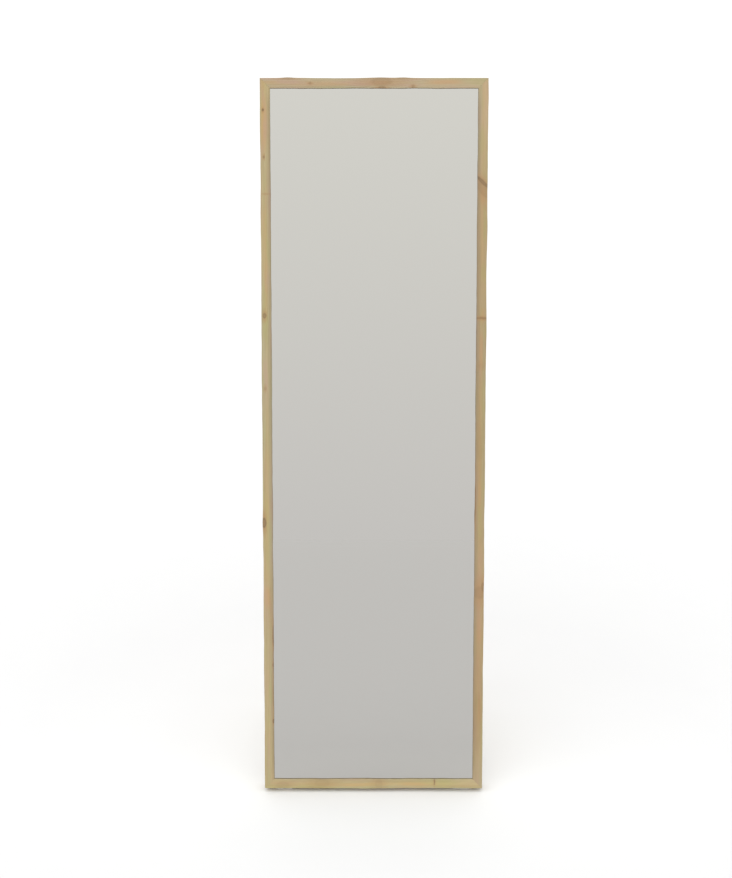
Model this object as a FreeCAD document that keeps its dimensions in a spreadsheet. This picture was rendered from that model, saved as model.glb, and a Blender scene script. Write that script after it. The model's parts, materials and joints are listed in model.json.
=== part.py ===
"""Floor mirror with a folding easel back, as a parametric FreeCAD document.

A tall mirror glass sits in a narrow mitred pine frame that leans back on the floor. A backing board
holds the glass in its rebate, and two cross rails close the back. An easel of two legs and two rails
hangs from the upper cross rail on a pair of butt hinges, and a webbing strap stops it opening too far.

Three local frames are used, each with X to the right, Y to the back and Z up:
  mirror frame  origin at the middle of the frame's rear bottom edge, Z along the mirror
  easel frame   origin on the hinge axis, Z along the legs, which hang towards -Z
  ring frame    origin on the axis of a hanging ring, Z plumb
"""

import FreeCAD, Part
import os
import re
import Sketcher
from FreeCAD import Placement, Rotation, Vector

# Driving dimensions, in millimetres and degrees.
SIZES = {
    "frame_width": 500, "frame_height": 1600, "frame_depth": 36,
    "face": 22,              # width of each frame member seen from the front
    "lip": 4,                # wood in front of the glass
    "rebate": 7,             # how far the lip laps over the glass
    "lean": 10,              # of the mirror, back from plumb
    "rake": 8,               # of the legs, from plumb
    "glass_thick": 4, "glass_play": 1, "glass_arris": 0.6,
    "tape_thick": 1, "tape_wide": 19, "tape_tall": 1480, "tape_spacing": 180,
    "board_thick": 3,
    "tab_wide": 9, "tab_long": 14, "tab_thick": 0.8, "tab_bite": 5, "tab_spacing": 150,
    "upper_low": 1150, "upper_tall": 80,      # upper cross rail
    "lower_low": 250, "lower_tall": 60,       # lower cross rail
    "rail_play": 0.2,
    "spline_side": 28, "spline_thick": 3,
    "plate_arm": 50, "plate_wide": 12, "plate_thick": 2, "plate_corner": 2.5, "plate_inset": 2,
    "plate_near": 20, "plate_far": 42,        # screw holes, from the plate's outer corner
    "screw_wide": 3.5, "screw_head": 7, "screw_long": 16, "screw_tip": 4, "pilot": 2.4,
    "hole_play": 0.2, "slot_long": 4.4, "slot_wide": 0.9, "slot_deep": 1.1,
    "hinge_height": 1200, "hinge_spacing": 90, "hinge_wide": 60, "hinge_knuckles": 5,
    "leaf_tall": 22, "leaf_thick": 2, "leaf_corner": 1.5, "leaf_screw": 13, "leaf_screw_gap": 20,
    "knuckle": 7, "knuckle_gap": 0.3, "hinge_pin": 4, "pin_play": 0.05, "pin_head": 5.6, "pin_cap": 1,
    "leg_spacing": 145, "leg_wide": 28, "leg_thick": 20, "leg_drop": 4,
    "easel_top_tall": 60, "easel_low_tall": 40, "easel_low_down": 914,
    "dowel": 8, "dowel_long": 36, "dowel_play": 0.1, "top_dowel_gap": 32, "low_dowel_gap": 18,
    "foot_thick": 3, "wedge_wide": 40, "wedge_front": 22, "wedge_back": 2, "wedge_spacing": 205,
    "strap_wide": 25, "strap_thick": 1.5, "strap_height": 280, "strap_tab": 28, "strap_play": 0.3,
    "clamp_wide": 34, "clamp_tall": 14, "clamp_thick": 2, "clamp_up": 8, "clamp_screw_gap": 22,
    "hanger_spacing": 182, "hanger_height": 1205, "hanger_wide": 12, "hanger_tall": 30,
    "hanger_thick": 1.2, "hanger_near": 11, "hanger_far": 23, "barrel": 5.4,
    "ring_wire": 2.6, "ring_wide": 17, "ring_side": 8, "ring_bend": 2.4,
}

# Heights of the glazing tabs along the stiles, clear of the cross rails and the angle plates.
TAB_HEIGHTS = (120, 430, 590, 750, 910, 1060, 1330, 1480)

X_AXIS, Y_AXIS, Z_AXIS = Vector(1, 0, 0), Vector(0, 1, 0), Vector(0, 0, 1)
ORIGIN = Vector(0, 0, 0)
LEFT, RIGHT = -1, 1
SIDES = {"left": LEFT, "right": RIGHT}
ENDS = ("bottom", "top")

doc = FreeCAD.newDocument("floor_mirror")
sheet = doc.addObject("Spreadsheet::Sheet", "sizes")
for row, (alias, number) in enumerate(SIZES.items(), start=1):
    sheet.set(f"A{row}", alias.replace("_", " "))
    sheet.set(f"B{row}", str(number))
    sheet.setAlias(f"B{row}", alias)
doc.recompute()

sub_parts = []


# ---------------------------------------------------------------- formulas and placements

def formula(text):
    """Turn words such as frame_width / 2 into an expression on the sheet's cells."""
    return re.sub(r"[a-z_]+", lambda word: ("sizes." if word[0] in SIZES else "") + word[0], str(text))


def size(text):
    """The value of a formula, in millimetres or degrees."""
    return float(sheet.evalExpression(formula(text)))


def bind(item, **formulas):
    """Bind an object's properties to formulas."""
    for name, text in formulas.items():
        item.setExpression(name, formula(text))


def tilt(degrees):
    """A turn about X that carries +Z towards -Y."""
    return Placement(ORIGIN, Rotation(X_AXIS, degrees))


def shift(x=0, y=0, z=0):
    """A move by three formulas."""
    return Placement(Vector(size(x), size(y), size(z)), Rotation())


# Hinge axis above the floor, and how far down a leg the level a given height above the floor lies.
AXIS_UP = "(foot_thick - knuckle / 2 * sin(lean) + hinge_height * cos(lean))"
AXIS_BACK = "(knuckle / 2 * cos(lean) + hinge_height * sin(lean))"
LEG_FRONT = "knuckle / 2"
LEG_BACK = "(knuckle / 2 + leg_thick)"


def leg_down(across, height):
    """Formula for a leg's Z where it is `height` above the floor, at the depth `across`."""
    return f"-({AXIS_UP} + {across} * sin(rake) - {height}) / cos(rake)"


# The origin is the middle of the floor space under the whole mirror.
REACH_BACK = f"({AXIS_BACK} + {LEG_BACK} * cos(rake) - {leg_down(LEG_BACK, 0)} * sin(rake))"
CENTRE_BACK = f"(({REACH_BACK} - frame_depth * cos(lean)) / 2)"

mirror_frame = shift(y=f"-{CENTRE_BACK}", z="foot_thick") * tilt(-size("lean"))
hinge_axis = mirror_frame * shift(y="knuckle / 2", z="hinge_height")
easel_frame = hinge_axis * tilt(size("lean + rake"))


def ring_frame(side):
    """Axis of a hanging ring, with the ring plumb below it."""
    bar = shift(f"{side} * hanger_spacing", "barrel / 2", "hanger_height")
    return mirror_frame * bar * tilt(size("lean"))


def keep(item, label, place):
    """Name a finished sub-part, place it and put it on the list to export."""
    item.Label = label
    item.Placement = place
    sub_parts.append(item)
    return item


# ---------------------------------------------------------------- sketches and features

def new_body(label, place):
    return keep(doc.addObject("PartDesign::Body", "Body"), label, place)


def new_sketch(body, plane, level="0"):
    """An empty sketch on one of the body's origin planes, raised to `level` along its normal."""
    sketch = body.newObject("Sketcher::SketchObject", "Sketch")
    support = next(f for f in body.Origin.OriginFeatures if f.Role == plane + "_Plane")
    sketch.AttachmentSupport = [(support, "")]
    sketch.MapMode = "FlatFace"
    bind(sketch, **{".AttachmentOffset.Base.z": level})
    return sketch


def pin_point(sketch, geometry, position, corner):
    """Fix a point of the sketch at a pair of formulas, measured from the sketch's origin."""
    for kind, axis, text in zip(("DistanceX", "DistanceY"), (-2, -1), corner):
        if abs(size(text)) < 1e-9:
            sketch.addConstraint(Sketcher.Constraint("PointOnObject", geometry, position, axis))
            continue
        name = f"{kind}_{geometry}"
        number = sketch.addConstraint(Sketcher.Constraint(kind, -1, 1, geometry, position, size(text)))
        sketch.renameConstraint(number, name)
        sketch.setExpression("Constraints." + name, formula(text))


def draw_outline(body, plane, corners, level="0"):
    """Sketch one closed polygon from its corners, each a pair of formulas."""
    sketch = new_sketch(body, plane, level)
    points = [Vector(size(a), size(b), 0) for a, b in corners]
    count = len(points)
    for number in range(count):
        sketch.addGeometry(Part.LineSegment(points[number], points[(number + 1) % count]), False)
    for number in range(count):
        sketch.addConstraint(Sketcher.Constraint("Coincident", number, 2, (number + 1) % count, 1))
    for number, corner in enumerate(corners):
        pin_point(sketch, number, 1, corner)
    return sketch


def draw_circles(body, plane, centres, diameter, level="0"):
    """Sketch circles of one diameter, their centres given as pairs of formulas."""
    sketch = new_sketch(body, plane, level)
    for number, centre in enumerate(centres):
        middle = Vector(size(centre[0]), size(centre[1]), 0)
        sketch.addGeometry(Part.Circle(middle, Z_AXIS, size(diameter) / 2), False)
        pin_point(sketch, number, 3, centre)
        name = f"Wide_{number}"
        index = sketch.addConstraint(Sketcher.Constraint("Diameter", number, size(diameter)))
        sketch.renameConstraint(index, name)
        sketch.setExpression("Constraints." + name, formula(diameter))
    return sketch


def extrude(body, kind, sketch, length, side="One side", backwards=False):
    """A Pad or a Pocket of the sketch; a Pocket has to take something away."""
    before = body.Shape.Volume if kind == "Pocket" else 0
    feature = body.newObject("PartDesign::" + kind, kind)
    feature.Profile = sketch
    feature.SideType = side
    feature.Reversed = backwards
    bind(feature, Length=length)
    doc.recompute()
    if kind == "Pocket" and body.Shape.Volume > before - 0.01:
        raise RuntimeError(f"a pocket in {body.Label} cuts nothing")
    return feature


def pad(body, sketch, length, side="One side", backwards=False):
    return extrude(body, "Pad", sketch, length, side, backwards)


def pocket(body, sketch, length, side="One side", backwards=False):
    return extrude(body, "Pocket", sketch, length, side, backwards)


def countersink(body, centres, level, backwards):
    """Countersunk screw holes through a plate that faces the Y direction."""
    sketch = draw_circles(body, "XZ", centres, "screw_wide", level)
    doc.recompute()
    before = body.Shape.Volume
    hole = body.newObject("PartDesign::Hole", "ScrewHoles")
    hole.Profile = sketch
    hole.Reversed = backwards
    hole.DepthType = "ThroughAll"
    hole.HoleCutType = "Countersink"
    bind(hole, Diameter="screw_wide + hole_play", HoleCutDiameter="screw_head + hole_play")
    hole.HoleCutCountersinkAngle = 90
    doc.recompute()
    if body.Shape.Volume > before - 0.01:
        raise RuntimeError(f"the screw holes in {body.Label} cut nothing")


def ease(body, kind, radius, wanted):
    """Fillet or chamfer every edge of the body that `wanted` accepts."""
    doc.recompute()
    solid = body.Tip
    names = [f"Edge{n}" for n, edge in enumerate(solid.Shape.Edges, start=1) if wanted(edge)]
    if not names:
        raise RuntimeError(f"no edges to ease in {body.Label}")
    feature = body.newObject("PartDesign::" + kind, kind)
    feature.Base = (solid, names)
    bind(feature, **{"Radius" if kind == "Fillet" else "Size": radius})
    doc.recompute()


def along(edge, axis, length):
    """Whether an edge is straight, parallel to the axis and of that length."""
    if not isinstance(edge.Curve, Part.Line):
        return False
    turned = abs(edge.tangentAt(edge.FirstParameter).dot(axis))
    return turned > 0.999 and abs(edge.Length - length) < 0.001


# ---------------------------------------------------------------- plain pieces and groups

def new_box(wide, deep, tall, x, y, z, place=Placement()):
    """A Part::Box centred on x, with its front bottom edge at y and z."""
    box = doc.addObject("Part::Box", "Box")
    bind(box, Length=wide, Width=deep, Height=tall)
    box.Placement = place * shift(f"{x} - {wide} / 2", y, z)
    return box


def group(label, pieces, place):
    """Several separate solids that share one node."""
    compound = doc.addObject("Part::Compound", "Group")
    compound.Links = pieces
    return keep(compound, label, place)


def copies(label, master, places):
    """One node of identical fasteners: a solid at each place."""
    feature = doc.addObject("Part::Feature", "Copies")
    feature.Shape = Part.makeCompound([master.Shape.transformed(p.toMatrix(), copy=True) for p in places])
    return keep(feature, label, Placement())


# ---------------------------------------------------------------- where the screws go

def facing_back(x, level, z):
    """A screw driven forwards into the back of the mirror, its head flush at `level`."""
    return mirror_frame * shift(x, level, z)


def plate_elbow(side, end):
    """Outer corner of an angle plate, the way it points along Z, for each place a plate is used."""
    at = {
        "bottom": ("plate_inset", 1),
        "top": ("frame_height - plate_inset", -1),
        "upper": ("upper_low + upper_tall / 2 - plate_wide / 2", 1),
        "lower": ("lower_low + lower_tall / 2 + plate_wide / 2", -1),
    }[end]
    return f"{side} * (frame_width / 2 - plate_inset)", at[0], at[1]


def plate_holes(side, end):
    """Screw centres of an angle plate: two on its upright arm, then two on its level arm."""
    x, z, up = plate_elbow(side, end)
    upright = [(f"{x} - {side} * plate_wide / 2", f"{z} + {up} * {d}") for d in ("plate_near", "plate_far")]
    level = [(f"{x} - {side} * {d}", f"{z} + {up} * plate_wide / 2") for d in ("plate_near", "plate_far")]
    return upright, level


PLATE_PLACES = ("bottom", "lower", "upper", "top")
LEAF_SCREWS = [f"{n} * leaf_screw_gap" for n in (-1, 0, 1)]
HINGE_SCREWS = [f"{side} * hinge_spacing + {x}" for side in SIDES.values() for x in LEAF_SCREWS]
HANGER_SCREWS = [
    (f"{side} * hanger_spacing", f"hanger_height - {down}")
    for side in SIDES.values() for down in ("hanger_near", "hanger_far")
]
CLAMP_SCREWS = [(f"{n} * clamp_screw_gap / 2", "strap_height + clamp_up + clamp_tall / 2") for n in (-1, 1)]


def pilot_holes(body, centres, depth, face="0", backwards=True):
    """Blind pilot holes, bored along Y from the face at that level."""
    pocket(body, draw_circles(body, "XZ", centres, "pilot", face), depth, backwards=backwards)


# ---------------------------------------------------------------- mirror frame

def spline_corner(side, end):
    """Outer corner of the frame and the way into it, as formulas and signs."""
    up = 1 if end == "bottom" else -1
    return f"{side} * frame_width / 2", "0" if end == "bottom" else "frame_height", -side, up


def spline_outline(side, end):
    x, z, inward, up = spline_corner(side, end)
    return [(x, z), (f"{x} + {inward} * spline_side", z), (x, f"{z} + {up} * spline_side")]


SPLINE_LEVEL = "(frame_depth - spline_thick) / 2"


def cut_spline_slots(body, corners):
    for side, end in corners:
        sketch = draw_outline(body, "XZ", spline_outline(side, end), SPLINE_LEVEL)
        pocket(body, sketch, "spline_thick", backwards=True)


def make_stile(name, side):
    """Upright frame member: a rebated section, mitred at both ends."""
    body = new_body(name + "_stile", mirror_frame)
    outer = f"{side} * frame_width / 2"
    inner = f"{side} * (frame_width / 2 - face)"
    wall = f"{side} * (frame_width / 2 - face + rebate)"
    section = [
        (outer, "-frame_depth"), (inner, "-frame_depth"), (inner, "lip - frame_depth"),
        (wall, "lip - frame_depth"), (wall, "0"), (outer, "0"),
    ]
    pad(body, draw_outline(body, "XY", section), "frame_height")
    for z, up in (("0", 1), ("frame_height", -1)):
        waste = [(outer, z), (inner, z), (inner, f"{z} + {up} * face")]
        pocket(body, draw_outline(body, "XZ", waste), "3 * frame_depth", "Symmetric")
    cut_spline_slots(body, [(side, end) for end in ENDS])
    holes = [centre for place in PLATE_PLACES for centre in plate_holes(side, place)[0]]
    pilot_holes(body, holes, "screw_long - plate_thick")


def make_frame_rail(end):
    """Top or bottom frame member: the same rebated section, mitred to meet the stiles."""
    body = new_body(end + "_rail", mirror_frame)
    z, up = ("0", 1) if end == "bottom" else ("frame_height", -1)
    inner, wall = f"{z} + {up} * face", f"{z} + {up} * (face - rebate)"
    section = [
        ("-frame_depth", z), ("-frame_depth", inner), ("lip - frame_depth", inner),
        ("lip - frame_depth", wall), ("0", wall), ("0", z),
    ]
    pad(body, draw_outline(body, "YZ", section), "frame_width", "Symmetric")
    for side in SIDES.values():
        x = f"{side} * frame_width / 2"
        waste = [(x, z), (x, inner), (f"{side} * (frame_width / 2 - face)", inner)]
        pocket(body, draw_outline(body, "XZ", waste), "3 * frame_depth", "Symmetric")
    cut_spline_slots(body, [(side, end) for side in SIDES.values()])
    holes = [centre for side in SIDES.values() for centre in plate_holes(side, end)[1]]
    pilot_holes(body, holes, "screw_long - plate_thick")


def make_corner_spline(name, side, end):
    """Triangular key glued into the slot that is sawn across a mitre."""
    body = new_body(f"{end}_{name}_corner_spline", mirror_frame)
    pad(body, draw_outline(body, "XZ", spline_outline(side, end), SPLINE_LEVEL), "spline_thick")


def make_angle_plate(name, side, end):
    """Flat steel angle plate let over a joint at the back, with four countersunk holes."""
    body = new_body(f"{end}_{name}_angle_plate", mirror_frame)
    x, z, up = plate_elbow(side, end)

    def at(across, rise):
        return f"{x} - {side} * ({across})", f"{z} + {up} * ({rise})"

    outline = [
        at("0", "0"), at("plate_arm", "0"), at("plate_arm", "plate_wide"),
        at("plate_wide", "plate_wide"), at("plate_wide", "plate_arm"), at("0", "plate_arm"),
    ]
    pad(body, draw_outline(body, "XZ", outline), "plate_thick", backwards=True)
    ease(body, "Fillet", "plate_corner", lambda e: along(e, Y_AXIS, size("plate_thick")))
    upright, level = plate_holes(side, end)
    countersink(body, upright + level, "-plate_thick", backwards=True)


# ---------------------------------------------------------------- glass and backing

GLASS_WIDE = "(frame_width - 2 * (face - rebate) - 2 * glass_play)"
GLASS_TALL = "(frame_height - 2 * (face - rebate) - 2 * glass_play)"
GLASS_LOW = "(face - rebate + glass_play)"
GLASS_FRONT = "(lip - frame_depth)"
BOARD_FRONT = f"({GLASS_FRONT} + glass_thick + tape_thick)"
BOARD_BACK = f"({BOARD_FRONT} + board_thick)"


def make_glass():
    """Silvered float glass with ground arrises."""
    body = new_body("mirror_glass", mirror_frame)
    left, right = f"-{GLASS_WIDE} / 2", f"{GLASS_WIDE} / 2"
    low, high = GLASS_LOW, f"{GLASS_LOW} + {GLASS_TALL}"
    outline = [(left, low), (right, low), (right, high), (left, high)]
    sheet_of_glass = draw_outline(body, "XZ", outline, f"-({GLASS_FRONT} + glass_thick)")
    pad(body, sheet_of_glass, "glass_thick")
    ease(body, "Chamfer", "glass_arris", lambda e: e.Length > size("frame_width / 2"))


def make_backing():
    """Foam tape, hardboard and the two pine cross rails that close the back."""
    tapes = [
        new_box("tape_wide", "tape_thick", "tape_tall", f"{n} * tape_spacing",
                f"{GLASS_FRONT} + glass_thick", "(frame_height - tape_tall) / 2")
        for n in (-1, 0, 1)
    ]
    group("foam_tape_strips", tapes, mirror_frame)
    board = new_box(GLASS_WIDE, "board_thick", GLASS_TALL, "0", BOARD_FRONT, GLASS_LOW, mirror_frame)
    keep(board, "backing_board", board.Placement)
    make_cross_rail("upper", "upper_low", "upper_tall", hinged=True)
    make_cross_rail("lower", "lower_low", "lower_tall", hinged=False)


def make_cross_rail(name, low, tall, hinged):
    """Pine rail between the stiles, flush with the back, with pilot holes for what is screwed to it."""
    body = new_body(name + "_cross_rail", mirror_frame)
    half = "(frame_width / 2 - face + rebate - rail_play)"
    outline = [(f"-{half}", low), (half, low), (half, f"{low} + {tall}"), (f"-{half}", f"{low} + {tall}")]
    pad(body, draw_outline(body, "XZ", outline), f"-{BOARD_BACK}")
    plate_screws = [centre for side in SIDES.values() for centre in plate_holes(side, name)[1]]
    pilot_holes(body, plate_screws, "screw_long - plate_thick")
    if hinged:
        leaf_screws = [(x, "hinge_height - leaf_screw") for x in HINGE_SCREWS]
        pilot_holes(body, leaf_screws, "screw_long - leaf_thick")
        pilot_holes(body, HANGER_SCREWS, "screw_long - hanger_thick")
    else:
        pilot_holes(body, CLAMP_SCREWS, "screw_long - strap_thick - clamp_thick")


def make_glazing_tabs():
    """Steel tabs driven into the rebate wall, lying on the backing board's edge."""
    reach = "(face - rebate - tab_bite)"
    tabs = []
    for side in SIDES.values():
        x = f"{side} * (frame_width / 2 - {reach} - tab_long / 2)"
        for middle in TAB_HEIGHTS:
            z = f"{middle} - tab_wide / 2"
            tabs.append(new_box("tab_long", "tab_thick", "tab_wide", x, BOARD_BACK, z))
    for x in ("-tab_spacing", "0", "tab_spacing"):
        for z in (reach, f"frame_height - {reach} - tab_long"):
            tabs.append(new_box("tab_wide", "tab_thick", "tab_long", x, BOARD_BACK, z))
    group("glazing_tabs", tabs, mirror_frame)


def make_wedge_foot(name, side):
    """Rubber wedge under the frame that gives the leaning mirror a level foot."""
    body = new_body(name + "_wedge_foot", mirror_frame * shift(f"{side} * wedge_spacing"))

    def floor(y):
        return f"({y} * sin(lean) - foot_thick) / cos(lean)"

    outline = [
        ("-wedge_front", "0"), ("-wedge_back", "0"),
        ("-wedge_back", floor("-wedge_back")), ("-wedge_front", floor("-wedge_front")),
    ]
    pad(body, draw_outline(body, "YZ", outline), "wedge_wide", "Symmetric")


# ---------------------------------------------------------------- hinges

KNUCKLE_LONG = "(hinge_wide / hinge_knuckles)"


def make_hinge_leaf(label, place, facing, own):
    """Leaf of a butt hinge about the local X axis. Its plate hangs down on the side `facing`;
    `own` lists the knuckles that belong to it, counted from the left."""
    body = new_body(label, place)
    wood, inner = f"{facing} * knuckle / 2", f"{facing} * (knuckle / 2 - leaf_thick)"
    section = [(wood, "0"), (wood, "-leaf_tall"), (inner, "-leaf_tall"), (inner, "0")]
    pad(body, draw_outline(body, "YZ", section), "hinge_wide", "Symmetric")
    ease(body, "Fillet", "leaf_corner",
         lambda e: along(e, Y_AXIS, size("leaf_thick")) and e.BoundBox.ZMax < -size("leaf_tall") / 2)
    pad(body, draw_circles(body, "YZ", [("0", "0")], "knuckle"), "hinge_wide", "Symmetric")
    clear = "(knuckle / 2 + knuckle_gap)"
    notch = [(f"-{clear}", f"-{clear}"), (clear, f"-{clear}"), (clear, clear), (f"-{clear}", clear)]
    for number in range(int(size("hinge_knuckles"))):
        if number in own:
            continue
        last = size("hinge_knuckles") - 1
        # An end notch runs past the leaf; an inner one leaves a gap at each side.
        middle = f"({number} - {last / 2}) * {KNUCKLE_LONG}"
        gaps = 2 if 0 < number < last else 1
        waste = f"{KNUCKLE_LONG} + {gaps} * knuckle_gap"
        pocket(body, draw_outline(body, "YZ", notch, middle), waste, "Symmetric")
    bore = draw_circles(body, "YZ", [("0", "0")], "hinge_pin + 2 * pin_play")
    pocket(body, bore, "2 * hinge_wide", "Symmetric")
    level = f"-({inner})"
    countersink(body, [(x, "-leaf_screw") for x in LEAF_SCREWS], level, backwards=facing < 0)


def make_hinge_pin(name, place):
    """Hinge pin with a low head at one end."""
    pin = doc.addObject("Part::Cylinder", "Pin")
    bind(pin, Radius="hinge_pin / 2", Height="hinge_wide + pin_cap")
    pin.Placement = Placement(Vector(-size("hinge_wide") / 2, 0, 0), Rotation(Y_AXIS, 90))
    cap = doc.addObject("Part::Cone", "Cap")
    bind(cap, Radius1="pin_head / 2", Radius2="hinge_pin / 2", Height="pin_cap")
    cap.Placement = Placement(Vector(size("hinge_wide") / 2, 0, 0), Rotation(Y_AXIS, 90))
    whole = doc.addObject("Part::MultiFuse", "HeadedPin")
    whole.Shapes = [pin, cap]
    keep(whole, name + "_hinge_pin", place)


# ---------------------------------------------------------------- easel

def dowel_levels(middle, gap):
    return [f"{middle} + {n} * {gap} / 2" for n in (-1, 1)]


TOP_MIDDLE = "(-leg_drop - easel_top_tall / 2)"
LOW_MIDDLE = "(-easel_low_down)"
DOWEL_LEVELS = dowel_levels(TOP_MIDDLE, "top_dowel_gap") + dowel_levels(LOW_MIDDLE, "low_dowel_gap")
LEG_MIDDLE = "(knuckle / 2 + leg_thick / 2)"


def make_leg(name, side):
    """Easel leg, cut level with the floor at its foot and bored for the rails' dowels."""
    body = new_body(name + "_leg", easel_frame * shift(f"{side} * leg_spacing"))
    outline = [
        (LEG_FRONT, "-leg_drop"), (LEG_BACK, "-leg_drop"),
        (LEG_BACK, leg_down(LEG_BACK, "foot_thick")), (LEG_FRONT, leg_down(LEG_FRONT, "foot_thick")),
    ]
    pad(body, draw_outline(body, "YZ", outline), "leg_wide", "Symmetric")
    centres = [(LEG_MIDDLE, z) for z in DOWEL_LEVELS]
    holes = draw_circles(body, "YZ", centres, "dowel + dowel_play", f"-{side} * leg_wide / 2")
    pocket(body, holes, "dowel_long / 2 + dowel_play", backwards=side > 0)


def make_leg_pad(name, side):
    """Rubber pad under a leg, level with the floor."""
    body = new_body(name + "_leg_pad", easel_frame * shift(f"{side} * leg_spacing"))
    outline = [
        (LEG_FRONT, leg_down(LEG_FRONT, "foot_thick")), (LEG_BACK, leg_down(LEG_BACK, "foot_thick")),
        (LEG_BACK, leg_down(LEG_BACK, 0)), (LEG_FRONT, leg_down(LEG_FRONT, 0)),
    ]
    pad(body, draw_outline(body, "YZ", outline), "leg_wide", "Symmetric")


def make_easel_rail(name, middle, tall, gap, screws):
    """Rail dowelled between the legs."""
    body = new_body(f"easel_{name}_rail", easel_frame)
    half = "(leg_spacing - leg_wide / 2)"
    low, high = f"{middle} - {tall} / 2", f"{middle} + {tall} / 2"
    outline = [(LEG_FRONT, low), (LEG_BACK, low), (LEG_BACK, high), (LEG_FRONT, high)]
    pad(body, draw_outline(body, "YZ", outline), f"2 * {half}", "Symmetric")
    centres = [(LEG_MIDDLE, z) for z in dowel_levels(middle, gap)]
    for side in SIDES.values():
        holes = draw_circles(body, "YZ", centres, "dowel + dowel_play", f"{side} * {half}")
        pocket(body, holes, "dowel_long / 2 + dowel_play", backwards=side < 0)
    if screws:
        pilot_holes(body, screws, "screw_long - leaf_thick", f"-{LEG_FRONT}", backwards=False)


def make_easel_dowels():
    """Beech dowels between the rails and the legs."""
    dowels = []
    for side in SIDES.values():
        for z in DOWEL_LEVELS:
            dowel = doc.addObject("Part::Cylinder", "Dowel")
            bind(dowel, Radius="dowel / 2", Height="dowel_long")
            start = shift(f"{side} * (leg_spacing - leg_wide / 2) - dowel_long / 2", LEG_MIDDLE, z)
            dowel.Placement = start * Placement(ORIGIN, Rotation(Y_AXIS, 90))
            dowels.append(dowel)
    group("easel_dowels", dowels, easel_frame)


# ---------------------------------------------------------------- strap, hangers and screws

def make_strap():
    """Webbing strap: clamped to the lower cross rail, level across, and sewn round the easel's low rail."""
    clear = "strap_play"
    tab = new_box("strap_wide", "strap_thick", "strap_tab", "0", "0", "strap_height", mirror_frame)
    anchor = mirror_frame * shift(z="strap_height") * tilt(size("lean"))
    # How far the easel rail's front face lies behind the anchor: by way of the hinge axis.
    to_axis = "(hinge_height - strap_height) * sin(lean) + knuckle / 2 * cos(lean)"
    rail_back = f"({to_axis} + knuckle / 2 * cos(rake) + easel_low_down * sin(rake))"
    span = f"({rail_back} - {clear} - strap_thick / 2)"
    level = new_box("strap_wide", f"{span} - strap_thick / 2", "strap_thick",
                    "0", "strap_thick / 2", "0", anchor)
    turn = f"({clear} + strap_thick)"
    outer = new_box("strap_wide", f"leg_thick + 2 * {turn}", f"easel_low_tall + 2 * {turn}", "0",
                    f"{LEG_FRONT} - {turn}", f"{LOW_MIDDLE} - easel_low_tall / 2 - {turn}", easel_frame)
    inner = new_box("2 * strap_wide", f"leg_thick + 2 * {clear}", f"easel_low_tall + 2 * {clear}", "0",
                    f"{LEG_FRONT} - {clear}", f"{LOW_MIDDLE} - easel_low_tall / 2 - {clear}", easel_frame)
    band = doc.addObject("Part::MultiFuse", "Band")
    band.Shapes = [tab, level, outer]
    strap = doc.addObject("Part::Cut", "Strap")
    strap.Base, strap.Tool = band, inner
    keep(strap, "stay_strap", Placement())


def make_strap_clamp():
    """Steel clamp plate over the strap's end."""
    body = new_body("strap_clamp_plate", mirror_frame)
    low, high = "strap_height + clamp_up", "strap_height + clamp_up + clamp_tall"
    half = "clamp_wide / 2"
    outline = [(f"-{half}", low), (half, low), (half, high), (f"-{half}", high)]
    pad(body, draw_outline(body, "XZ", outline, "-strap_thick"), "clamp_thick", backwards=True)
    ease(body, "Fillet", "plate_corner", lambda e: along(e, Y_AXIS, size("clamp_thick")))
    countersink(body, CLAMP_SCREWS, "-(strap_thick + clamp_thick)", backwards=True)


def make_hanger_plate(name, side):
    """Steel strip whose upper end is rolled round the hanging ring's bar."""
    place = mirror_frame * shift(f"{side} * hanger_spacing", "barrel / 2", "hanger_height")
    body = new_body(name + "_hanger_plate", place)
    wood, front = "-barrel / 2", "hanger_thick - barrel / 2"
    section = [(wood, "0"), (wood, "-hanger_tall"), (front, "-hanger_tall"), (front, "0")]
    pad(body, draw_outline(body, "YZ", section), "hanger_wide", "Symmetric")
    ease(body, "Fillet", "plate_corner",
         lambda e: along(e, Y_AXIS, size("hanger_thick")) and e.BoundBox.ZMax < -size("hanger_tall") / 2)
    pad(body, draw_circles(body, "YZ", [("0", "0")], "barrel"), "hanger_wide", "Symmetric")
    bore = draw_circles(body, "YZ", [("0", "0")], "ring_wire + 2 * pin_play")
    pocket(body, bore, "2 * hanger_wide", "Symmetric")
    centres = [("0", "-hanger_near"), ("0", "-hanger_far")]
    countersink(body, centres, "barrel / 2 - hanger_thick", backwards=True)


def make_hanging_ring(name, side):
    """Wire ring that hangs from its hanger plate: a bar, two bends, two sides and a half-round bow."""
    half = "ring_wide / 2"
    level = Placement(ORIGIN, Rotation(Y_AXIS, 90))
    quarter_turn = level.inverse()
    upright = Placement(ORIGIN, Rotation(X_AXIS, 90))
    pieces = [
        new_rod("ring_wide - 2 * ring_bend", shift(f"ring_bend - {half}") * level),
        new_bend(half, 180, shift(z="-ring_side") * upright.inverse()),
        new_bend("ring_bend", 90, shift(f"{half} - ring_bend", "0", "-ring_bend") * upright),
        new_bend("ring_bend", 90, shift(f"ring_bend - {half}", "0", "-ring_bend") * quarter_turn * upright),
    ]
    for sign in SIDES.values():
        pieces.append(new_rod("ring_side - ring_bend", shift(f"{sign} * {half}", "0", "-ring_side")))
    ring = doc.addObject("Part::MultiFuse", "Ring")
    ring.Shapes = pieces
    keep(ring, name + "_hanging_ring", ring_frame(side))


def new_rod(length, place):
    """Straight stretch of the ring's wire."""
    rod = doc.addObject("Part::Cylinder", "Rod")
    bind(rod, Radius="ring_wire / 2", Height=length)
    rod.Placement = place
    return rod


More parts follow.
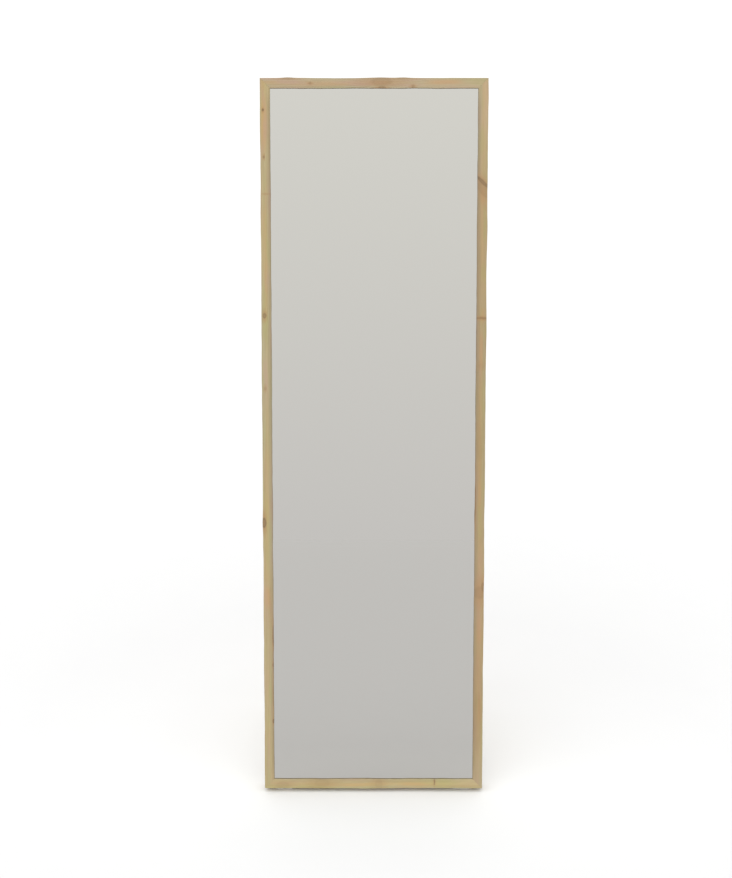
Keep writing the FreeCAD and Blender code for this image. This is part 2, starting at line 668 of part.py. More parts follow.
def new_bend(radius, degrees, place):
    """Curved stretch of the ring's wire."""
    bend = doc.addObject("Part::Torus", "Bend")
    bind(bend, Radius1=radius, Radius2="ring_wire / 2")
    bend.Angle3 = degrees
    bend.Placement = place
    return bend


def make_screw():
    """Countersunk wood screw pointing along -Y from the origin, with a cross slot. It is the pattern
    for every screw and isn't a sub-part itself."""
    body = doc.addObject("PartDesign::Body", "ScrewPattern")
    wide, head = "screw_wide / 2", "screw_head / 2"
    outline = [
        ("0", "0"), (head, "0"), (wide, f"{wide} - {head}"), (wide, "screw_tip - screw_long"),
        ("0", "-screw_long"),
    ]
    turned = body.newObject("PartDesign::Revolution", "Turned")
    turned.Profile = draw_outline(body, "XY", outline)
    turned.ReferenceAxis = (turned.Profile[0], ["V_Axis"])
    turned.Angle = 360
    doc.recompute()
    corners = ((-1, -1), (1, -1), (1, 1), (-1, 1))
    for across, up in (("slot_long", "slot_wide"), ("slot_wide", "slot_long")):
        slot = [(f"{x} * {across} / 2", f"{z} * {up} / 2") for x, z in corners]
        pocket(body, draw_outline(body, "XZ", slot), "slot_deep", backwards=True)
    return body


def make_screws(screw):
    """Every screw, in one node for each thing that the screws hold."""
    plates = [
        facing_back(x, "plate_thick", z)
        for side in SIDES.values() for place in PLATE_PLACES
        for arm in plate_holes(side, place) for x, z in arm
    ]
    copies("angle_plate_screws", screw, plates)
    copies("hinge_frame_screws", screw,
           [facing_back(x, "leaf_thick", "hinge_height - leaf_screw") for x in HINGE_SCREWS])
    copies("hanger_screws", screw, [facing_back(x, "hanger_thick", z) for x, z in HANGER_SCREWS])
    copies("strap_clamp_screws", screw,
           [facing_back(x, "strap_thick + clamp_thick", z) for x, z in CLAMP_SCREWS])
    about_face = Placement(ORIGIN, Rotation(Z_AXIS, 180))
    copies("hinge_leg_screws", screw, [
        easel_frame * shift(x, "knuckle / 2 - leaf_thick", "-leaf_screw") * about_face for x in HINGE_SCREWS
    ])


# ---------------------------------------------------------------- the whole mirror

def make_mirror():
    for name, side in SIDES.items():
        make_stile(name, side)
    for end in ENDS:
        make_frame_rail(end)
    for name, side in SIDES.items():
        for end in ENDS:
            make_corner_spline(name, side, end)
        for place in PLATE_PLACES:
            make_angle_plate(name, side, place)
        make_wedge_foot(name, side)
        make_hanger_plate(name, side)
        make_hanging_ring(name, side)
    make_glass()
    make_backing()
    make_glazing_tabs()
    make_strap()
    make_strap_clamp()


def make_easel():
    for name, side in SIDES.items():
        make_leg(name, side)
        make_leg_pad(name, side)
    leaf_screws = [(x, "-leaf_screw") for x in HINGE_SCREWS]
    make_easel_rail("top", TOP_MIDDLE, "easel_top_tall", "top_dowel_gap", leaf_screws)
    make_easel_rail("low", LOW_MIDDLE, "easel_low_tall", "low_dowel_gap", None)
    make_easel_dowels()


def make_hinges():
    for name, side in SIDES.items():
        along_axis = shift(f"{side} * hinge_spacing")
        make_hinge_leaf(name + "_hinge_frame_leaf", hinge_axis * along_axis, facing=-1, own=(0, 2, 4))
        make_hinge_leaf(name + "_hinge_leg_leaf", easel_frame * along_axis, facing=1, own=(1, 3))
        make_hinge_pin(name, hinge_axis * along_axis)


def check_and_export():
    """Stop on any failed object or broken solid, then write a STEP file for each sub-part."""
    doc.recompute()
    for item in doc.Objects:
        if {"Invalid", "Error"} & set(item.State):
            raise RuntimeError(f"{item.Name} ({item.Label}) failed: {item.State}")
    os.makedirs("parts", exist_ok=True)
    for item in sub_parts:
        shape = item.Shape
        if shape.isNull() or not shape.isValid() or not shape.Solids or shape.Volume <= 0:
            raise RuntimeError(f"{item.Label} has no valid solid")
        shape.exportStep(os.path.join("parts", item.Label + ".step"))
        print(f"{item.Label}: {len(shape.Solids)} solid(s), {shape.Volume / 1000:.2f} cm3")


make_mirror()
make_easel()
make_hinges()
make_screws(make_screw())
check_and_export()
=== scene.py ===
"""Looks of the leaning floor mirror: pine, silvered glass, hardboard, webbing, zinc and rubber.

Every new piece is drawn in a frame of its own, so that its Object coordinates are a board's own:
X across the board, Y through its thickness from front to back, and Z along the grain.
"""

import json
import math

import bmesh
import bpy
from mathutils import Matrix, Vector, noise


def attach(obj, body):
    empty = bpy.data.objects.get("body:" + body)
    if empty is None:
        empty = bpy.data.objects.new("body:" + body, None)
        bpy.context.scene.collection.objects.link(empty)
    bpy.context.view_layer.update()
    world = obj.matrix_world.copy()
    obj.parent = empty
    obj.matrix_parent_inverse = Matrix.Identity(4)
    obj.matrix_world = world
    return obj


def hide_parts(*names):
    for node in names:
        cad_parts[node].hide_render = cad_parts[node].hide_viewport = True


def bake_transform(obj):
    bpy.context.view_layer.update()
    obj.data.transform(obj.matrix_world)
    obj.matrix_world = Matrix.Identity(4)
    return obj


MM = 0.001

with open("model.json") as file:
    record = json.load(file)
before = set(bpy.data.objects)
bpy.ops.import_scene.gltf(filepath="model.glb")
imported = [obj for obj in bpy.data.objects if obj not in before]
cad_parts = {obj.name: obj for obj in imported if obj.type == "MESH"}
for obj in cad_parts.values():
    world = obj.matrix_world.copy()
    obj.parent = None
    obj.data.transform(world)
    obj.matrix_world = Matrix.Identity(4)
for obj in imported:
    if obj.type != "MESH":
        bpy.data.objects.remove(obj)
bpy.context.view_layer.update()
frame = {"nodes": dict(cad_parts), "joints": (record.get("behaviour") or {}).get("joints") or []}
joints = {joint["name"]: joint for joint in frame["joints"]}
hinge_centre = Vector(joints["easel_fold"]["pos_m"])

# ---------------------------------------------------------------- sizes of the real pieces

WIDTH, HEIGHT, DEPTH = 500 * MM, 1600 * MM, 36 * MM
FACE, LIP, REBATE = 22 * MM, 4 * MM, 7 * MM
GLASS_PLAY = 1 * MM
GLASS_THICK, TAPE_THICK, BOARD_THICK = 4 * MM, 1 * MM, 3 * MM
RAIL_THICK = DEPTH - LIP - GLASS_THICK - TAPE_THICK - BOARD_THICK
TAPE_WIDE, TAPE_TALL, TAPE_SPACING = 19 * MM, 1480 * MM, 180 * MM

LEAN = math.radians(10)
SPREAD = math.radians(-joints["easel_fold"]["range_deg"][0])
HINGE_UP, HINGE_OUT = 1200 * MM, 3.5 * MM
LEG_WIDE, LEG_THICK, LEG_SPACING, LEG_DROP = 28 * MM, 20 * MM, 145 * MM, 4 * MM
EASEL_TOP_TALL, EASEL_LOW_TALL, EASEL_LOW_DOWN = 60 * MM, 40 * MM, 914 * MM
FOOT_THICK = 3 * MM

# Cross rails of the mirror frame: height of the underside, and height of the rail.
UPPER_RAIL = (1150 * MM, 80 * MM)
LOWER_RAIL = (250 * MM, 60 * MM)
CROSS_RAIL_PLAY = 0.2 * MM

STRAP_WIDE, STRAP_THICK, STRAP_UP, STRAP_TAB, STRAP_TAIL = 25 * MM, 1.5 * MM, 280 * MM, 27 * MM, 42 * MM
STRAP_TURN, STRAP_STEP, STRAP_CLEAR, STRAP_LIP = 2.2 * MM, 6 * MM, 0.35 * MM, 0.45 * MM
LAYER_GAP = 0.1 * MM
STITCH_STEP = 3.2 * MM
STITCH_SIZE = (0.32 * MM, 1.25 * MM, 0.28 * MM)
STITCHED_HALF, STITCHED_FROM_RAIL, STITCHED_FROM_END = 8.5 * MM, 9 * MM, 5 * MM

# Frames with X to the right, Y to the back and Z up: the mirror's rear bottom edge, and the hinge axis.
MIRROR = (Matrix.Translation(hinge_centre) @ Matrix.Rotation(-LEAN, 4, "X")
          @ Matrix.Translation((0, -HINGE_OUT, -HINGE_UP)))
EASEL = Matrix.Translation(hinge_centre) @ Matrix.Rotation(SPREAD - LEAN, 4, "X")
# Turns a board's grain from Z to X; its X then points down.
LEVEL = Matrix(((0, 0, 1, 0), (0, 1, 0, 0), (-1, 0, 0, 0), (0, 0, 0, 1)))


# ---------------------------------------------------------------- shader building blocks

def feed(tree, socket, value):
    """Link the socket to another one, or set its own value."""
    if isinstance(value, bpy.types.NodeSocket):
        tree.links.new(value, socket)
    else:
        socket.default_value = value


def add(tree, kind, inputs=None, **settings):
    """A node with its settings, and its inputs fed by name or number."""
    made = tree.nodes.new("ShaderNode" + kind)
    for name, value in settings.items():
        setattr(made, name, value)
    for name, value in (inputs or {}).items():
        feed(tree, made.inputs[name], value)
    return made


def maths(tree, operation, *values):
    """A Math node's result."""
    return add(tree, "Math", dict(enumerate(values)), operation=operation).outputs[0]


def plus(tree, first, second):
    return maths(tree, "ADD", first, second)


def minus(tree, first, second):
    return maths(tree, "SUBTRACT", first, second)


def times(tree, first, second):
    return maths(tree, "MULTIPLY", first, second)


def larger(tree, first, second):
    return maths(tree, "MAXIMUM", first, second)


def smaller(tree, first, second):
    return maths(tree, "MINIMUM", first, second)


def size_of(tree, value):
    """The value without its sign."""
    return maths(tree, "ABSOLUTE", value)


def sine(tree, value):
    return maths(tree, "SINE", value)


def vector_maths(tree, operation, *values):
    """A Vector Math node's vector result."""
    return add(tree, "VectorMath", dict(enumerate(values)), operation=operation).outputs[0]


def spread_noise(tree, place, stretch, detail=2.0, rough=0.5):
    """Noise from 0 to 1 on coordinates stretched by three numbers per metre."""
    scaled = vector_maths(tree, "MULTIPLY", place, stretch)
    wired = {"Vector": scaled, "Scale": 1.0, "Detail": detail, "Roughness": rough}
    return add(tree, "TexNoise", wired).outputs[0]


def remap(tree, value, low, high, to_low=0.0, to_high=1.0, smooth=True):
    """Value from low..high carried to to_low..to_high, held at the ends."""
    kind = "SMOOTHSTEP" if smooth else "LINEAR"
    wired = {"Value": value, "From Min": low, "From Max": high, "To Min": to_low, "To Max": to_high}
    return add(tree, "MapRange", wired, interpolation_type=kind).outputs[0]


def tint(tree, amount, first, second):
    """Second colour over the first by that amount."""
    return add(tree, "Mix", {0: amount, 6: first, 7: second}, data_type="RGBA").outputs[2]


def bump(tree, height, distance, strength=1.0):
    """A normal with fine relief, whose height of 1 stands that distance proud."""
    return add(tree, "Bump", {"Height": height, "Distance": distance, "Strength": strength}).outputs[0]


def length_of(tree, vector):
    return add(tree, "VectorMath", {0: vector}, operation="LENGTH").outputs["Value"]


def split(tree, vector):
    """The X, Y and Z of a vector."""
    return add(tree, "SeparateXYZ", {0: vector}).outputs


def join(tree, x, y, z):
    return add(tree, "CombineXYZ", {0: x, 1: y, 2: z}).outputs[0]


SOCKETS = {"vector": "NodeSocketVector", "value": "NodeSocketFloat", "colour": "NodeSocketColor"}


def new_effect(name, inputs, outputs):
    """An empty shader node group; inputs and outputs are (name, kind) pairs."""
    tree = bpy.data.node_groups.new(name, "ShaderNodeTree")
    for label, kind in inputs:
        tree.interface.new_socket(label, in_out="INPUT", socket_type=SOCKETS[kind])
    for label, kind in outputs:
        tree.interface.new_socket(label, in_out="OUTPUT", socket_type=SOCKETS[kind])
    return tree, tree.nodes.new("NodeGroupInput").outputs, tree.nodes.new("NodeGroupOutput").inputs


def use_effect(tree, effect, inputs):
    """The outputs of a shared effect, used in this tree."""
    made = tree.nodes.new("ShaderNodeGroup")
    made.node_tree = effect
    for name, value in inputs.items():
        feed(tree, made.inputs[name], value)
    return made.outputs


def new_material(name):
    """A material with its Principled shader, and the tree to draw in."""
    material = bpy.data.materials.new(name)
    material.use_nodes = True
    tree = material.node_tree
    return material, tree, tree.nodes["Principled BSDF"].inputs


def wire(tree, sockets, **values):
    """Set or link the shader's sockets; an underscore in a name stands for a space."""
    for name, value in values.items():
        feed(tree, sockets[name.replace("_", " ")], value)


def rgb(red, green, blue):
    """A colour as seen, from 0 to 255, for a shader."""
    def linear(level):
        part = level / 255
        return part / 12.92 if part <= 0.04045 else ((part + 0.055) / 1.055) ** 2.4
    return (linear(red), linear(green), linear(blue), 1.0)


def board_place(tree):
    """Where a point lies on its own board, in metres."""
    return add(tree, "TexCoord").outputs["Object"]


# ---------------------------------------------------------------- shared surface effects

DUST_COLOUR = rgb(196, 190, 178)
EARLY_WOOD, LATE_WOOD, SAP_WOOD = rgb(182, 163, 124), rgb(150, 124, 84), rgb(170, 161, 124)
HEART_WOOD, BLUSH_WOOD, OLIVE_WOOD = rgb(184, 148, 102), rgb(178, 146, 122), rgb(166, 158, 104)
KNOT_HALO, KNOT_RIM, KNOT_CORE = rgb(160, 122, 82), rgb(84, 72, 54), rgb(98, 80, 58)
# The first is the colour of painted shade on a frame member's inner side by the glass; the others are the
# wood's own worn arrises and resin.
PAINTED_INNER_SHADE, WORN_ARRIS, RESIN = rgb(126, 112, 92), rgb(150, 130, 96), rgb(120, 82, 48)
CLEAN_SILVER, FILMED_SILVER = (0.508, 0.496, 0.475, 1), (0.488, 0.480, 0.464, 1)
RING_GAP = 3.2 * MM
PITH_ASIDE, PITH_BEHIND, RING_WANDER, HEART_WANDER = 4 * MM, 45 * MM, 16 * MM, 20 * MM


def make_pine_growth():
    """Growth rings, fibres and tone of a pine board, bent by its knots."""
    tree, given, out = new_effect(
        "pine_growth",
        [("Place", "vector"), ("Bend", "value"), ("Ring gap", "value"), ("Early wood", "colour"),
         ("Late wood", "colour"), ("Sap tone", "colour")],
        [("Colour", "colour"), ("Height", "value"), ("Late", "value")])
    place = given["Place"]
    wander = spread_noise(tree, place, (9, 9, 1.3), detail=2.5)
    parts = split(tree, place)
    # The pith lies behind the board and a little to one side, so the rings run as long flat arcs.
    aside = plus(tree, parts[0], -PITH_ASIDE)
    behind = plus(tree, parts[1], -PITH_BEHIND)
    radius = maths(tree, "SQRT", plus(tree, times(tree, aside, aside), times(tree, behind, behind)))
    radius = plus(tree, radius, times(tree, wander, RING_WANDER))
    radius = plus(tree, radius, given["Bend"])
    ring = maths(tree, "FRACT", maths(tree, "DIVIDE", radius, given["Ring gap"]))
    rise = remap(tree, ring, 0.25, 0.88)
    fall = remap(tree, ring, 0.90, 1.0, 1.0, 0.0)
    late = times(tree, rise, fall)
    strength = remap(tree, spread_noise(tree, place, (60, 60, 1.7)), 0.3, 0.7, 0.35, 1.0)
    late = times(tree, late, strength)
    fibre = spread_noise(tree, place, (1500, 1500, 38), detail=3)
    streak = spread_noise(tree, place, (260, 260, 5), detail=2)
    sap = remap(tree, spread_noise(tree, place, (48, 48, 2.2)), 0.42, 0.66)
    base = tint(tree, times(tree, sap, 0.8), given["Early wood"], given["Sap tone"])
    colour = tint(tree, times(tree, late, 0.72), base, given["Late wood"])
    colour = tint(tree, remap(tree, streak, 0.35, 0.72, 0.0, 0.22), colour, given["Late wood"])
    shade = remap(tree, fibre, 0.25, 0.75, 0.93, 1.06)
    colour = vector_maths(tree, "MULTIPLY", colour, join(tree, shade, shade, shade))
    resin = remap(tree, spread_noise(tree, place, (1100, 1100, 22), detail=1), 0.70, 0.78)
    colour = tint(tree, times(tree, resin, 0.45), colour, RESIN)
    height = plus(tree, times(tree, late, 0.7), times(tree, fibre, 0.5))
    height = minus(tree, height, times(tree, resin, 0.6))
    for name, value in (("Colour", colour), ("Height", height), ("Late", late)):
        tree.links.new(value, out[name])
    return tree


def make_knot():
    """One knot: a dark core, a ragged rim, a warm halo, and the bend it gives to the rings around it.
    Wide and Tall are its half sizes across and along the board, and Slope leans it."""
    tree, given, out = new_effect(
        "knot", [("Place", "vector"), ("Centre", "vector"), ("Wide", "value"), ("Tall", "value"),
                 ("Slope", "value"), ("Depth", "value")],
        [("Core", "value"), ("Rim", "value"), ("Halo", "value"), ("Bend", "value")])
    ragged = add(tree, "TexNoise", {"Vector": given["Place"], "Scale": 240.0, "Detail": 3.0}).outputs[1]
    ragged = vector_maths(tree, "SUBTRACT", ragged, (0.5, 0.5, 0.5))
    ragged = vector_maths(tree, "MULTIPLY", ragged, (2.4 * MM, 0, 3.4 * MM))
    away = vector_maths(tree, "SUBTRACT", vector_maths(tree, "ADD", given["Place"], ragged), given["Centre"])
    parts = split(tree, away)
    along = minus(tree, parts[2], times(tree, parts[0], given["Slope"]))
    across = maths(tree, "DIVIDE", parts[0], given["Wide"])
    deep = times(tree, parts[1], 34.0)
    near = join(tree, across, deep, maths(tree, "DIVIDE", along, given["Tall"]))
    far = length_of(tree, near)
    ring = sine(tree, times(tree, far, 19.0))
    # Only a deep, sound knot shows rings of its own.
    sound = remap(tree, given["Depth"], 0.5, 0.75)
    ring = minus(tree, 1.0, times(tree, sound, minus(tree, 1.0, ring)))
    core = remap(tree, far, 0.55, 1.15, 1.0, 0.0)
    core = times(tree, core, remap(tree, ring, -0.6, 0.9, 0.62, 1.0))
    rim = times(tree, remap(tree, far, 0.55, 0.95), remap(tree, far, 1.0, 1.4, 1.0, 0.0))
    long = vector_maths(tree, "MULTIPLY", near, (0.8, 1.0, 0.42))
    reach = length_of(tree, long)
    halo = remap(tree, reach, 0.3, 1.9, 1.0, 0.0)
    bend = times(tree, remap(tree, reach, 0.2, 2.6, 1.0, 0.0), given["Wide"])
    # A shallow mark is mostly halo, and only a deep one shows its core.
    sharp = times(tree, given["Depth"], given["Depth"])
    soft = smaller(tree, times(tree, given["Depth"], 1.7), 1.0)
    for name, value, share in (
            ("Core", core, sharp), ("Rim", rim, sharp), ("Halo", halo, soft), ("Bend", bend, soft)):
        tree.links.new(times(tree, value, share), out[name])
    return tree


def make_edge_wear():
    """Where an edge is rubbed: 1 on sharp edges, broken up by noise, 0 on flats."""
    tree, given, out = new_effect(
        "edge_wear", [("Place", "vector"), ("Radius", "value")], [("Worn", "value")])
    rounded = add(tree, "Bevel", {"Radius": given["Radius"]}, samples=4).outputs[0]
    true = add(tree, "NewGeometry").outputs["Normal"]
    agree = add(tree, "VectorMath", {0: rounded, 1: true}, operation="DOT_PRODUCT").outputs["Value"]
    edge = remap(tree, agree, 0.80, 0.99, 1.0, 0.0)
    patchy = remap(tree, spread_noise(tree, given["Place"], (260, 260, 260), detail=3), 0.38, 0.62, 0.3, 1.0)
    tree.links.new(times(tree, edge, patchy), out["Worn"])
    return tree


def make_settled_dust():
    """Dust that lies on faces turned up, in soft patches."""
    tree, given, out = new_effect(
        "settled_dust", [("Place", "vector"), ("Amount", "value")], [("Dust", "value")])
    facing = split(tree, add(tree, "NewGeometry").outputs["Normal"])[2]
    up = remap(tree, facing, 0.45, 1.0)
    patchy = remap(tree, spread_noise(tree, given["Place"], (55, 55, 55), detail=4), 0.3, 0.75)
    tree.links.new(times(tree, times(tree, up, patchy), given["Amount"]), out["Dust"])
    return tree


PINE_GROWTH = make_pine_growth()
KNOT = make_knot()
EDGE_WEAR = make_edge_wear()
SETTLED_DUST = make_settled_dust()


# ---------------------------------------------------------------- finishes

def pine(name, knots=(), shift=0.0, inward=0, red=0.0, shaded=0.0, tone=(1.10, 1.06, 1.05), end_tone=None,
         length=1.0, face_at=0.0, streaks=()):
    """Clear-oiled pine. Each knot is along, across, half tall and half wide in millimetres, then slope and
    depth. shift gives each board its own grain, red how much warm heartwood it has, shaded how much painted
    shade darkens its inner side on the way inward, tone how its colour leans, and end_tone how it leans near
    its ends. Its knots grow in from the face at face_at, and streaks are (along, half length) of its
    reddest heartwood, in millimetres."""
    material, tree, shader = new_material(name)
    place = board_place(tree)
    parts = split(tree, place)
    grown = vector_maths(tree, "ADD", place, (0.37 * shift, 0.11 * shift, 2.3 * shift))
    core, rim, halo, bend = 0.0, 0.0, 0.0, 0.0
    for along, across, tall, wide, slope, depth in knots:
        marks = use_effect(tree, KNOT, {
            "Place": place, "Centre": ((inward or 1) * across * MM, face_at, along * MM),
            "Wide": wide * MM, "Tall": tall * MM, "Slope": (inward or 1) * slope, "Depth": depth})
        core = larger(tree, core, marks["Core"])
        rim = larger(tree, rim, marks["Rim"])
        halo = larger(tree, halo, marks["Halo"])
        bend = plus(tree, bend, marks["Bend"])
    grain = use_effect(tree, PINE_GROWTH, {
        "Place": grown, "Bend": bend, "Ring gap": RING_GAP,
        "Early wood": EARLY_WOOD, "Late wood": LATE_WOOD, "Sap tone": SAP_WOOD})
    wander = spread_noise(tree, grown, (20, 20, 3.1), detail=3)
    off_middle = minus(tree, size_of(tree, parts[0]), FACE * 0.45)
    off_middle = plus(tree, off_middle, times(tree, minus(tree, wander, 0.5), HEART_WANDER))
    heart = remap(tree, size_of(tree, off_middle), 1.5 * MM, 8 * MM, 1.0, 0.0)
    patchy = remap(tree, spread_noise(tree, grown, (14, 14, 4.3), detail=3), 0.36, 0.62, 0.1, 1.0)
    for along, reach in streaks:
        off = size_of(tree, minus(tree, parts[2], along * MM))
        patchy = larger(tree, patchy, remap(tree, off, reach * 0.3 * MM, reach * 1.3 * MM, 1.5, 0.0))
    heart = times(tree, times(tree, heart, patchy), 0.45 + red)
    colour = tint(tree, heart, grain["Colour"], HEART_WOOD)
    drift = spread_noise(tree, grown, (60, 60, 9), detail=3)
    colour = tint(tree, remap(tree, drift, 0.50, 0.70, 0.0, 0.5 + red), colour, BLUSH_WOOD)
    colour = tint(tree, remap(tree, drift, 0.50, 0.32, 0.0, 0.5 if inward else 0.15), colour, OLIVE_WOOD)
    if inward:
        from_end = smaller(tree, parts[2], minus(tree, length, parts[2]))
        tone = tint(tree, remap(tree, from_end, 60 * MM, 260 * MM, 1.0, 0.0), (*tone, 1), (*end_tone, 1))
    colour = vector_maths(tree, "MULTIPLY", colour, tone)
    # Painted shade: the inner side darkens towards the glass, where the gap between frame and glass lies in
    # shadow, and only a quarter as much at the mitres.
    if inward:
        inner = remap(tree, size_of(tree, parts[0]), FACE * 0.5, FACE, 0.0, shaded)
        inner = times(tree, inner, remap(tree, from_end, 15 * MM, 70 * MM, 0.25, 1.0))
        colour = tint(tree, inner, colour, PAINTED_INNER_SHADE)
    if knots:
        colour = tint(tree, times(tree, halo, 0.6), colour, KNOT_HALO)
        colour = tint(tree, times(tree, rim, 0.7), colour, KNOT_RIM)
        colour = tint(tree, times(tree, core, 0.8), colour, KNOT_CORE)
    worn = use_effect(tree, EDGE_WEAR, {"Place": place, "Radius": 1.2 * MM})["Worn"]
    colour = tint(tree, times(tree, worn, 0.25), colour, WORN_ARRIS)
    dust = use_effect(tree, SETTLED_DUST, {"Place": place, "Amount": 0.3})["Dust"]
    colour = tint(tree, dust, colour, DUST_COLOUR)
    rough = plus(tree, remap(tree, grain["Late"], 0.0, 1.0, 0.60, 0.48), times(tree, dust, 0.3))
    relief = bump(tree, grain["Height"], 0.12 * MM, 0.6)
    wire(tree, shader, Base_Color=colour, Roughness=rough, Normal=relief)
    wire(tree, shader, Specular_IOR_Level=0.35)
    return material


def silvered_face():
    """The mirror's face: silver behind float glass, with a faint film where it was wiped."""
    material, tree, shader = new_material("silvered_face")
    place = board_place(tree)
    film = spread_noise(tree, place, (14, 14, 5), detail=4)
    wiped = spread_noise(tree, place, (170, 170, 12), detail=2)
    rough = times(tree, remap(tree, film, 0.35, 0.8, 0.004, 0.03), remap(tree, wiped, 0.3, 0.7, 0.6, 1.0))
    colour = tint(tree, remap(tree, film, 0.3, 0.8, 0.0, 0.05), CLEAN_SILVER, FILMED_SILVER)
    wire(tree, shader, Base_Color=colour, Roughness=rough, Metallic=1.0)
    return material


def glass_edge():
    """Ground edge of float glass: green, with fine grinding marks."""
    material, tree, shader = new_material("glass_edge")
    place = board_place(tree)
    ground = spread_noise(tree, place, (300, 4000, 300), detail=2)
    colour = tint(tree, remap(tree, ground, 0.3, 0.7), rgb(70, 118, 102), rgb(128, 168, 152))
    wire(tree, shader, Base_Color=colour, Roughness=remap(tree, ground, 0.2, 0.8, 0.25, 0.5))
    wire(tree, shader, Normal=bump(tree, ground, 0.03 * MM, 0.5), Coat_Weight=0.4, Coat_Roughness=0.1)
    return material


def backing_paint():
    """Grey protective paint on the silver's back, rolled on."""
    material, tree, shader = new_material("backing_paint")
    place = board_place(tree)
    rolled = spread_noise(tree, place, (90, 90, 700), detail=3)
    colour = tint(tree, remap(tree, rolled, 0.3, 0.7), rgb(92, 96, 98), rgb(108, 112, 113))
    wire(tree, shader, Base_Color=colour, Roughness=remap(tree, rolled, 0.3, 0.7, 0.45, 0.6))
    wire(tree, shader, Normal=bump(tree, rolled, 0.05 * MM, 0.5))
    return material


def hardboard():
    """Brown hardboard with the screen's mesh pressed into its back and loose darker fibres."""
    material, tree, shader = new_material("hardboard")
    place = board_place(tree)
    parts = split(tree, place)
    mesh_step = 2 * math.pi / (1.9 * MM)
    across = sine(tree, times(tree, parts[0], mesh_step))
    along = sine(tree, times(tree, parts[2], mesh_step))
    screen = times(tree, across, along)
    cloudy = spread_noise(tree, place, (6, 6, 6), detail=4)
    fibre = spread_noise(tree, place, (420, 420, 900), detail=4, rough=0.65)
    colour = tint(tree, remap(tree, cloudy, 0.3, 0.7), rgb(112, 78, 50), rgb(132, 94, 62))
    colour = tint(tree, remap(tree, fibre, 0.46, 0.66, 0.0, 0.55), colour, rgb(84, 56, 36))
    colour = tint(tree, remap(tree, fibre, 0.44, 0.28, 0.0, 0.4), colour, rgb(160, 122, 86))
    colour = tint(tree, remap(tree, screen, 0.2, 1.0, 0.0, 0.18), colour, rgb(72, 48, 32))
    dust = use_effect(tree, SETTLED_DUST, {"Place": place, "Amount": 0.4})["Dust"]
    height = plus(tree, times(tree, screen, 0.6), fibre)
    wire(tree, shader, Base_Color=tint(tree, dust, colour, DUST_COLOUR), Specular_IOR_Level=0.25)
    wire(tree, shader, Roughness=remap(tree, fibre, 0.3, 0.7, 0.72, 0.9))
    wire(tree, shader, Normal=bump(tree, height, 0.16 * MM, 0.8))
    return material


def plated_steel(name, plain, warm, rough_low, rough_high):
    """Zinc-plated steel: cloudy plating, fine rolling lines, bright rubbed edges."""
    material, tree, shader = new_material(name)
    place = board_place(tree)
    cloud = spread_noise(tree, place, (120, 120, 120), detail=4)
    lines = spread_noise(tree, place, (120, 2200, 2200), detail=2)
    worn = use_effect(tree, EDGE_WEAR, {"Place": place, "Radius": 0.7 * MM})["Worn"]
    dust = use_effect(tree, SETTLED_DUST, {"Place": place, "Amount": 0.35})["Dust"]
    colour = tint(tree, remap(tree, cloud, 0.35, 0.7), plain, warm)
    colour = tint(tree, times(tree, worn, 0.6), colour, rgb(232, 230, 226))
    colour = tint(tree, dust, colour, DUST_COLOUR)
    rough = remap(tree, cloud, 0.3, 0.7, rough_low, rough_high)
    rough = minus(tree, rough, times(tree, worn, 0.1))
    metal = minus(tree, 1.0, dust)
    wire(tree, shader, Base_Color=colour, Roughness=plus(tree, rough, times(tree, dust, 0.4)))
    wire(tree, shader, Metallic=metal, Normal=bump(tree, lines, 0.02 * MM, 0.35))
    return material


def moulded_rubber():
    """Pale grey rubber with a fine matt skin, duller where it was handled and paler on its edges."""
    material, tree, shader = new_material("moulded_rubber")
    place = board_place(tree)
    skin = spread_noise(tree, place, (2600, 2600, 2600), detail=2)
    rubbed = spread_noise(tree, place, (190, 190, 190), detail=4)
    worn = use_effect(tree, EDGE_WEAR, {"Place": place, "Radius": 0.8 * MM})["Worn"]
    colour = tint(tree, remap(tree, rubbed, 0.4, 0.75, 0.0, 0.5), rgb(203, 201, 196), rgb(184, 181, 175))
    colour = tint(tree, times(tree, worn, 0.5), colour, rgb(216, 214, 209))
    wire(tree, shader, Base_Color=colour, Roughness=remap(tree, rubbed, 0.3, 0.7, 0.62, 0.8))
    wire(tree, shader, Normal=bump(tree, skin, 0.05 * MM, 0.5), Specular_IOR_Level=0.35)
    return material


def white_foam():
    """Closed-cell foam tape."""
    material, tree, shader = new_material("white_foam")
    place = board_place(tree)
    cells = add(tree, "TexVoronoi", {"Vector": place, "Scale": 2600.0}, feature="F1").outputs["Distance"]
    colour = tint(tree, remap(tree, cells, 0.1, 0.7), rgb(196, 196, 190), rgb(228, 227, 220))
    wire(tree, shader, Base_Color=colour, Roughness=0.85, Normal=bump(tree, cells, 0.1 * MM, 0.6))
    return material


